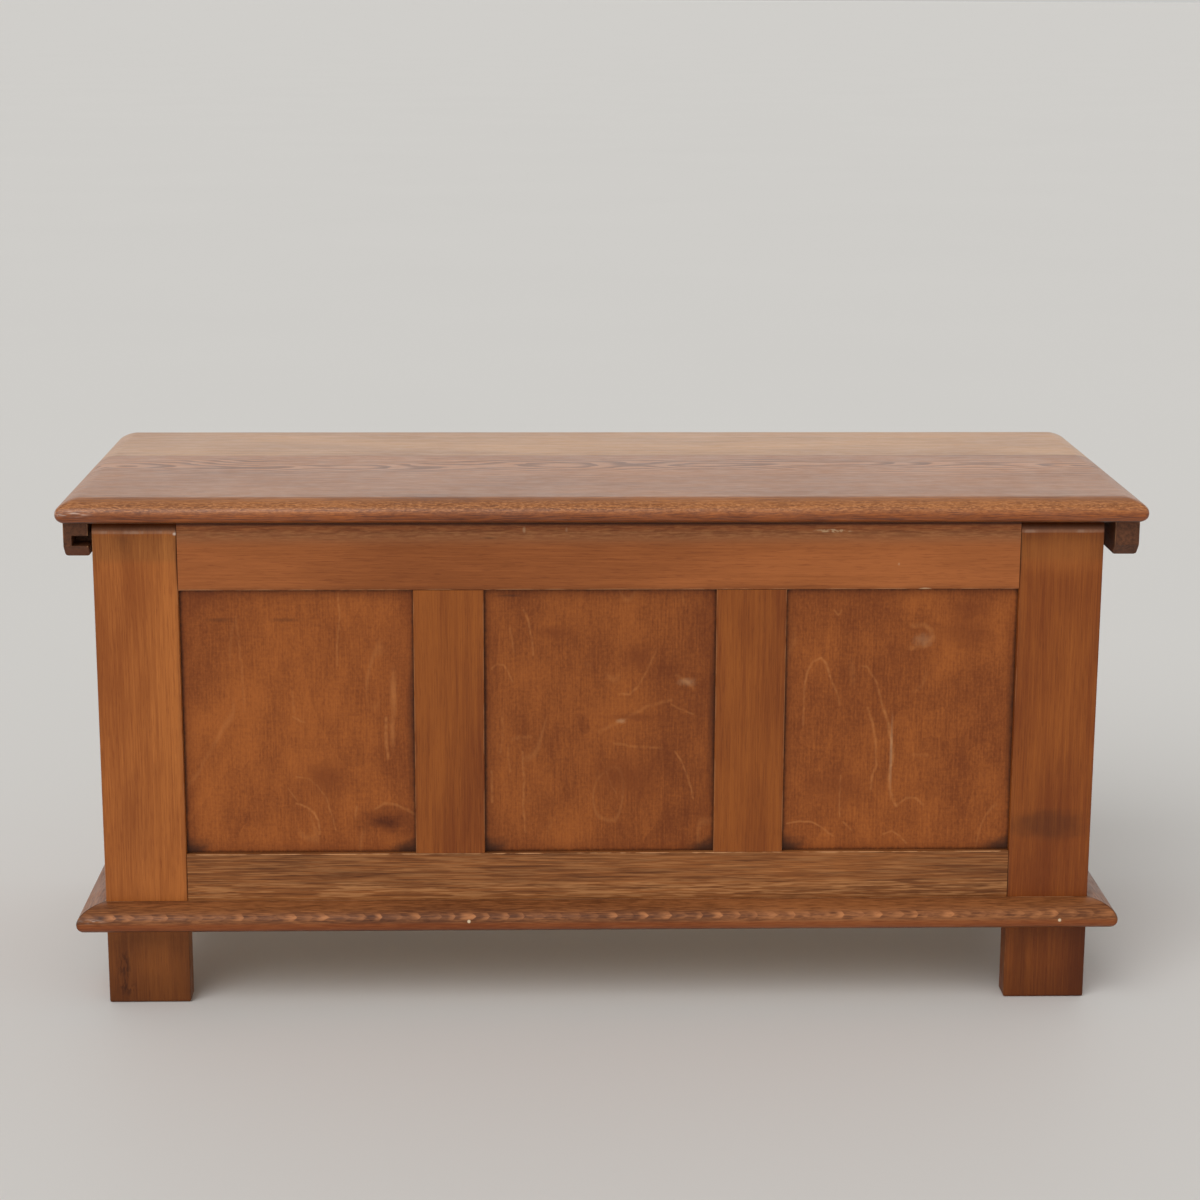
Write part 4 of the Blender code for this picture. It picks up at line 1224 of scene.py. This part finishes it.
class CHEST_OT_front_frame(bpy.types.Operator):
    """Dress the front stiles, rails and muntins"""

    bl_idname = "chest.front_frame"
    bl_label = "Front frame"

    def execute(self, context):
        top, brown = STILE_TOP, Tone(0.56, 0.48, 0.42)
        rail_marks = marks_at(
            FRONT_Y,
            # Greyish haze and painted light on the rail's upper band, under the lid
            (0.0, top - 0.008, (4.0, 0.01, 0.021), RAIL_HAZE, 0.62, 0.3),
            (0.0, top - 0.008, (4.0, 0.01, 0.016), FLECK_PALE, 0.3, 0.3, 0.2, (80, 560)),
            # Painted shadow under the lid's edge, and a warm tint over the same band
            (0.0, top, (4.0, 0.01, 0.0066), Tone(0.14, 0.08, 0.04), 1.0, 0.1, 0.38),
            (0.0, top - 0.004, (4.0, 0.01, 0.01), Tone(1.0, 0.85, 0.7), 1.0, 0.1),
            (0.0, top - 0.01, (4.0, 0.01, 0.014), brown, 0.6, 0.3, 0.0, (48, 640)),
            (-0.0754, 0.4925, (0.0022, 0.004, 0.0042), CHIP_PALE, 0.55, 0.4, 0.2),
            (-0.0336, 0.4925, (0.0018, 0.004, 0.0034), CHIP_PALE, 0.3, 0.4, 0.2),
            (0.2309, 0.4912, (0.023, 0.004, 0.0022), CHIP_PALE, 0.95, 0.3, 0.5, (150, 380)),
            (0.2963, 0.4574, (0.0016, 0.004, 0.002), CHIP_PALE, 0.35, 0.4, 0.2),
            (0.3231, 0.4305, (0.009, 0.004, 0.0034), CHIP_PALE, 0.8, 0.2, 0.6),
            (-0.11, 0.4844, (0.012, 0.004, 0.0016), STAIN_DARK, 0.4, 0.7, 0.1),
        )
        low_marks = marks_at(
            FRONT_Y,
            # Pale grain flecks, set low so that they also paint light into the shade where the
            # rail meets the moulding
            (0.0, 0.119, (20, 0.01, 0.012), FLECK_PALE, 0.55, 0.3, 0.4, (26, 560)),
            (0.0, 0.14, (20, 0.01, 0.026), FLECK_PALE, 0.26, 0.3, 0.6, (24, 640)),
            (0.0, 0.136, (20, 0.01, 0.03), Tone(0.58, 0.5, 0.42), 0.56, 0.3, 0.6, (17, 560)),
        )
        dress_timber("front_stile_left", "stile", "Z", BACK, 1.0, front_stile_marks("left"))
        dress_timber("front_stile_right", "muntin", "Z", BACK, 1.05, front_stile_marks("right"))
        for side in ("left", "right"):
            dress_timber(f"front_muntin_{side}", "muntin", "Z", BACK)
        dress_timber("front_top_rail", "top_rail", "X", BACK, 1.0, rail_marks)
        dress_timber("front_bottom_rail", "bottom_rail", "X", BACK, 1.0, low_marks)
        return {"FINISHED"}


class CHEST_OT_front_panels(bpy.types.Operator):
    """Dress the three plywood panels of the front"""

    bl_idname = "chest.front_panels"
    bl_label = "Front panels"

    def execute(self, context):
        cloud, line = colours().panel_dark, colours().panel_line
        left_marks = marks_at(
            PANEL_Y,
            (-0.2135, 0.1915, (0.043, 0.01, 0.022), Tone(0.56, 0.48, 0.42), 0.85, 0.9, 0.2),
            (-0.216, 0.1895, (0.022, 0.01, 0.009), Tone(0.5, 0.43, 0.38), 0.85, 0.9, 0.1),
            (-0.2065, 0.324, (0.005, 0.01, 0.034), line, 0.42, 0.8, 0.1),
            (-0.208, 0.285, (0.004, 0.01, 0.026), line, 0.36, 0.8, 0.1),
            (-0.2755, 0.237, (0.03, 0.01, 0.026), cloud, 0.65, 0.6, 0.1),
            (-0.378, 0.4004, (0.02, 0.01, 0.003), STAIN_DARK, 0.35, 0.9, 0.1),
            (-0.313, 0.4004, (0.022, 0.01, 0.003), STAIN_DARK, 0.35, 0.9, 0.1),
        )
        centre_marks = marks_at(
            PANEL_Y,
            (-0.0463, 0.3868, (0.022, 0.01, 0.01), cloud, 0.6, 0.6, 0.1),
            (-0.09, 0.4245, (0.018, 0.01, 0.002), STAIN_DARK, 0.5, 0.8, 0.1),
            (0.0376, 0.3608, (0.02, 0.01, 0.02), cloud, 0.55, 0.6, 0.1),
            (0.026, 0.2358, (0.048, 0.01, 0.032), cloud, 0.6, 0.7, 0.1),
            (0.0365, 0.299, (0.045, 0.01, 0.006), cloud, 0.5, 0.8, 0.1),
            (0.0215, 0.2951, (0.007, 0.01, 0.0035), CHIP_PALE, 0.3, 0.9, 0.1),
            (0.0875, 0.3354, (0.013, 0.01, 0.006), CHIP_PALE, 0.22, 0.9, 0.1),
        )
        right_marks = marks_at(
            PANEL_Y,
            (0.324, 0.378, (0.014, 0.01, 0.01), CHIP_PALE, 0.18, 0.9, 0.1),
            (0.295, 0.26, (0.0022, 0.01, 0.052), CHIP_PALE, 0.3, 0.7, 0.1),
            (0.37, 0.41, (0.04, 0.01, 0.016), cloud, 0.5, 0.7, 0.1),
            (0.365, 0.385, (0.05, 0.01, 0.026), cloud, 0.5, 0.7, 0.1),
            (0.24, 0.225, (0.045, 0.01, 0.03), cloud, 0.45, 0.7, 0.1),
        )
        dress_panel("front_panel_left", FRONT, left_marks, LEFT_STROKES, 0.97)
        dress_panel("front_panel_centre", FRONT, centre_marks, CENTRE_STROKES, 0.89)
        dress_panel("front_panel_right", FRONT, right_marks, RIGHT_STROKES, 0.95)
        return {"FINISHED"}


class CHEST_OT_end_frames(bpy.types.Operator):
    """Dress the frame and panel of each end"""

    bl_idname = "chest.end_frames"
    bl_label = "End frames"

    def execute(self, context):
        # Painted shade on the feet, darker towards the floor
        feet = marks_at(0, (0, 0.01, (20, 20, 0.085), Tone(0.66, 0.62, 0.55), 0.9, 0.2, 0.4))
        for side, outward, stile in (("left", LEFT, "stile"), ("right", RIGHT, "muntin")):
            inward = tuple(-value for value in outward)
            for name, shade in (("front_stile", 0.98), ("rear_stile", 0.94)):
                dress_timber(f"{side}_end_{name}", stile, "Z", inward, shade, feet)
            for name, shade in (("top_rail", 0.98), ("bottom_rail", 0.96)):
                dress_timber(f"{side}_end_{name}", name, "Y", inward, shade)
            dress_panel(f"{side}_end_panel", outward)
        return {"FINISHED"}


class CHEST_OT_back_frame(bpy.types.Operator):
    """Dress the frame and panels of the back"""

    bl_idname = "chest.back_frame"
    bl_label = "Back frame"

    def execute(self, context):
        for name, shade in (("stile_left", 0.92), ("stile_right", 0.9), ("muntin", 0.92)):
            dress_timber(f"back_{name}", "back", "Z", FRONT, shade)
        for name, shade in (("top_rail", 0.9), ("bottom_rail", 0.88)):
            dress_timber(f"back_{name}", "back", "X", FRONT, shade)
        for side in ("left", "right"):
            dress_panel(f"back_panel_{side}", BACK)
        return {"FINISHED"}


class CHEST_OT_bottom(bpy.types.Operator):
    """Dress the plywood bottom and its battens"""

    bl_idname = "chest.bottom"
    bl_label = "Bottom"

    def execute(self, context):
        give_material(frame["nodes"]["bottom_panel"], bottom_material("bottom_panel"))
        for side, grain in (("front", "X"), ("rear", "X"), ("left", "Y"), ("right", "Y")):
            name = f"bottom_batten_{side}"
            give_material(frame["nodes"][name], timber_material(name, "pine", grain))
        return {"FINISHED"}


class CHEST_OT_base_moulding(bpy.types.Operator):
    """Dress the mitred moulding round the base"""

    bl_idname = "chest.base_moulding"
    bl_label = "Base moulding"

    def execute(self, context):
        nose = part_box("base_moulding_front")[0].y
        filler = ((0.0021, 0.004, 0.0021), FILLER, 0.95, 0.3, 0.5)
        groove, ledge = Tone(0.5, 0.4, 0.28), (20, 0.012, 0.005)
        marks = (
            # Painted highlight along the nose, in scales
            Mark((0, nose, 0.0996), (20, 0.012, 0.0044), NOSE_LIGHT, 0.88, 0.3, scales=True),
            *marks_at(
                nose,
                (0, 0.0985, (20, 0.012, 0.006), Tone(0.62, 0.56, 0.52), 0.8, 0.3, 0.3, (70, 240)),
                (0, 0.089, (20, 0.012, 0.0065), NOSE_RED, 0.5, 0.2),
            ),
            # Painted shade on the moulding's under-round
            Mark((0, nose + 0.008, 0.0832), (20, 0.02, 0.0034), groove, 0.9, 0.2, 0.2),
            Mark((0, FRONT_Y - 0.01, 0.1094), ledge, NOSE_TOP, 0.3, 0.2, 0.3, (60, 300)),
            *marks_at(
                nose,
                (-0.512, 0.0965, (0.02, 0.02, 0.003), PALE_GLINT, 0.42, 0.5, 0.1, (90, 700)),
                (-0.502, 0.0995, (0.0045, 0.01, 0.0026), STAIN_DARK, 0.7, 0.6, 0.1),
                (-0.132, 0.095, *filler),
                (0.467, 0.093, *filler),
            ),
        )
        dress_timber("base_moulding_front", "base", "X", marks=marks)
        dress_timber("base_moulding_left", "base", "Y", shade=0.97)
        dress_timber("base_moulding_right", "base", "Y", shade=1.02)
        return {"FINISHED"}


class CHEST_OT_lid(bpy.types.Operator):
    """Dress the two boards of the lid"""

    bl_idname = "chest.lid"
    bl_label = "Lid"

    def execute(self, context):
        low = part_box("lid_front_board")[0]
        lip, hollow, roll = Tone(0.52, 0.44, 0.36), Tone(0.9, 0.66, 0.34), Tone(0.62, 0.54, 0.46)
        glint = (PALE_GLINT, 0.55, 0.5, 0.1, (70, 700))
        marks = marks_at(
            low.y,
            # Ray flecks and a painted highlight on the upper part of the roll
            (0, low.z + 0.0185, (20, 0.02, 0.01), ROLL_LIGHT, 0.78, 0.2, 0.3, (240, 820)),
            (0, low.z + 0.015, (20, 0.02, 0.013), roll, 0.75, 0.2, 0.3, (150, 900)),
            # The lower roll made redder, with painted shade where it turns down
            (0, low.z + 0.004, (20, 0.016, 0.014), hollow, 1.0, 0.1, 0.2),
            (0, low.z + 0.004, (20, 0.012, 0.007), lip, 0.9, 0.2, 0.3, (26, 760)),
            # Painted shadow along the lid's underside, in the gap over the carcass
            (0, low.z - 0.0008, (20, 0.02, 0.0042), GAP_DARK, 0.95, 0.1, 0.35),
            (low.x + 0.014, low.z + 0.011, (0.03, 0.02, 0.0042), *glint),
        )
        pith = Pith((0.0, 0.01, -0.526), 0.046, 0.022, 0.03, 0.68)
        dress_timber("lid_front_board", "lid_front", "X", marks=marks, pith=pith)
        pith = Pith((0.4, -0.33, -0.526), 0.14, 0.012, 0.03, 0.45)
        dress_timber("lid_rear_board", "lid_rear", "X", pith=pith)
        return {"FINISHED"}


class CHEST_OT_cleats(bpy.types.Operator):
    """Dress the cleats under the lid's ends"""

    bl_idname = "chest.cleats"
    bl_label = "Cleats"

    def execute(self, context):
        x, y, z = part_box("lid_cleat_left")[0]
        marks = marks_at(y, (x, z + 0.003, (0.2, 0.02, 0.009), CLEAT_RED, 0.55, 0.3, 0.4))
        dress_timber("lid_cleat_left", "cleat", "Y", marks=marks)
        dress_timber("lid_cleat_right", "cleat", "Y", shade=1.14)
        return {"FINISHED"}


class CHEST_OT_hinges(bpy.types.Operator):
    """Dress the leaves and pins of the butt hinges"""

    bl_idname = "chest.hinges"
    bl_label = "Hinges"

    def execute(self, context):
        brass = metal_material("Old brass", colours().brass, 0.3, (96, 72, 42))
        steel = metal_material("Pin steel", colours().steel, 0.32, (82, 78, 74))
        for side in ("left", "right"):
            smooth_copy(f"hinge_{side}_carcass_leaf", "brass", brass)
            smooth_copy(f"hinge_{side}_lid_leaf", "brass", brass)
            smooth_copy(f"hinge_{side}_pin", "steel", steel)
        return {"FINISHED"}


def apply_turns():
    bpy.ops.object.transform_apply(location=True, rotation=True, scale=True)


def draw_out(depth, swell):
    """Extrudes the selected faces down by a depth and resizes them there."""
    bpy.ops.mesh.extrude_region_move(TRANSFORM_OT_translate={"value": (0, 0, -depth)})
    bpy.ops.transform.resize(value=(swell, swell, 1))


def model_screw(name, low, high):
    """A slotted countersunk screw with its head's middle at the origin and its shank along -Z."""
    slot_width, slot_depth = sizes().slot_width, sizes().slot_depth
    length = high.z - low.z
    head_radius = (high.x - low.x) / 2
    radius = head_radius * SCREW_SHANK_SHARE
    head_depth = head_radius - radius
    rim = head_radius * SCREW_RIM_SHARE
    bpy.ops.object.select_all(action="DESELECT")
    bpy.ops.mesh.primitive_cylinder_add(
        vertices=SCREW_SIDES, radius=head_radius, depth=rim, location=(0, 0, -rim / 2)
    )
    screw = bpy.context.object
    screw.name = name
    bpy.ops.object.mode_set(mode="EDIT")
    bpy.ops.mesh.select_mode(type="FACE")
    shape = bmesh.from_edit_mesh(screw.data)
    for part in (*shape.verts, *shape.edges, *shape.faces):
        part.select = False
    for face in shape.faces:
        if face.normal.z < -0.5:
            face.select_set(True)
    bmesh.update_edit_mesh(screw.data)
    draw_out(head_depth, radius / head_radius)
    shank = length - rim - head_depth - radius * 2
    turns = max(4, round(shank / (radius * SCREW_PITCH_SHARE)))
    for turn in range(turns * 2):
        draw_out(shank / (turns * 2), SCREW_THREAD_SWELL if turn % 2 else 1 / SCREW_THREAD_SWELL)
    draw_out(radius * 2, SCREW_POINT_SHARE)
    bpy.ops.object.mode_set(mode="OBJECT")
    apply_turns()
    bpy.ops.object.select_all(action="DESELECT")
    bpy.ops.mesh.primitive_cube_add(size=1, location=ORIGIN)
    cutter = bpy.context.object
    cutter.scale = (head_radius * 3, slot_width, slot_depth * 2)
    apply_turns()
    select_only(screw)
    apply_modifier(screw, "slot", "BOOLEAN", operation="DIFFERENCE", object=cutter)
    bevel = {"width": slot_depth * SCREW_BEVEL_SHARE, "segments": 2, "limit_method": "ANGLE"}
    apply_modifier(screw, "soft edges", "BEVEL", **bevel)
    bpy.ops.object.shade_smooth_by_angle(angle=SMOOTH_ANGLE)
    bpy.data.objects.remove(cutter)
    return screw


class CHEST_OT_screws(bpy.types.Operator):
    """Model slotted screws in place of the plain ones"""

    bl_idname = "chest.screws"
    bl_label = "Screws"

    def execute(self, context):
        steel = metal_material("Screw steel", colours().steel, 0.3, (92, 80, 66))
        names = sorted(name for name in frame["nodes"] if "screw" in name)
        if not names:
            raise RuntimeError("The frame has no screws")
        patterns = {}
        for number, name in enumerate(names):
            low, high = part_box(name)
            kind = "cleat" if name.startswith("cleat") else "hinge"
            if kind not in patterns:
                patterns[kind] = model_screw(f"{kind}_screw_pattern", low, high)
                give_material(patterns[kind], steel)
            head_up = "carcass" in name
            head_z = high.z if head_up else low.z
            head = Vector(((low.x + high.x) / 2, (low.y + high.y) / 2, head_z))
            turn = Matrix.Rotation(0 if head_up else math.pi, 4, "X")
            slot_turn = math.radians(SCREW_SLOT_TURNS[number % len(SCREW_SLOT_TURNS)])
            screw = bpy.data.objects.new(f"{name}_slotted", patterns[kind].data.copy())
            around = Matrix.Rotation(slot_turn, 4, "Z")
            screw.data.transform(Matrix.Translation(head) @ turn @ around)
            context.scene.collection.objects.link(screw)
            take_place(screw, name)
        for pattern in patterns.values():
            bpy.data.objects.remove(pattern)
        return {"FINISHED"}


class CHEST_PT_panel(bpy.types.Panel):
    """The chest's pieces, colours and sizes"""

    bl_idname = "CHEST_PT_panel"
    bl_label = "Blanket chest"
    bl_space_type = "VIEW_3D"
    bl_region_type = "UI"
    bl_category = "Chest"

    def draw(self, context):
        column = self.layout.column(align=True)
        for operator in OPERATORS:
            column.operator(operator.bl_idname)
        for settings in (context.scene.chest_sizes, context.scene.chest_colours):
            column.separator()
            for name in settings.__annotations__:
                column.prop(settings, name)


OPERATORS = (
    CHEST_OT_stage,
    CHEST_OT_front_frame,
    CHEST_OT_front_panels,
    CHEST_OT_end_frames,
    CHEST_OT_back_frame,
    CHEST_OT_bottom,
    CHEST_OT_base_moulding,
    CHEST_OT_lid,
    CHEST_OT_cleats,
    CHEST_OT_hinges,
    CHEST_OT_screws,
)
CLASSES = (ChestColours, ChestSizes, *OPERATORS, CHEST_PT_panel)


def register():
    for kind in CLASSES:
        bpy.utils.register_class(kind)
    bpy.types.Scene.chest_colours = PointerProperty(type=ChestColours)
    bpy.types.Scene.chest_sizes = PointerProperty(type=ChestSizes)


def unregister():
    del bpy.types.Scene.chest_sizes
    del bpy.types.Scene.chest_colours
    for kind in reversed(CLASSES):
        bpy.utils.unregister_class(kind)


def main():
    register()
    build_groups()
    for operator in OPERATORS:
        area, name = operator.bl_idname.split(".")
        getattr(getattr(bpy.ops, area), name)()
    boxes = {
        "cad": [list(corner) for corner in CAD_BOUNDS],
        "visual": [list(corner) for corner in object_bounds()],
    }


if __name__ == "__main__":
    main()
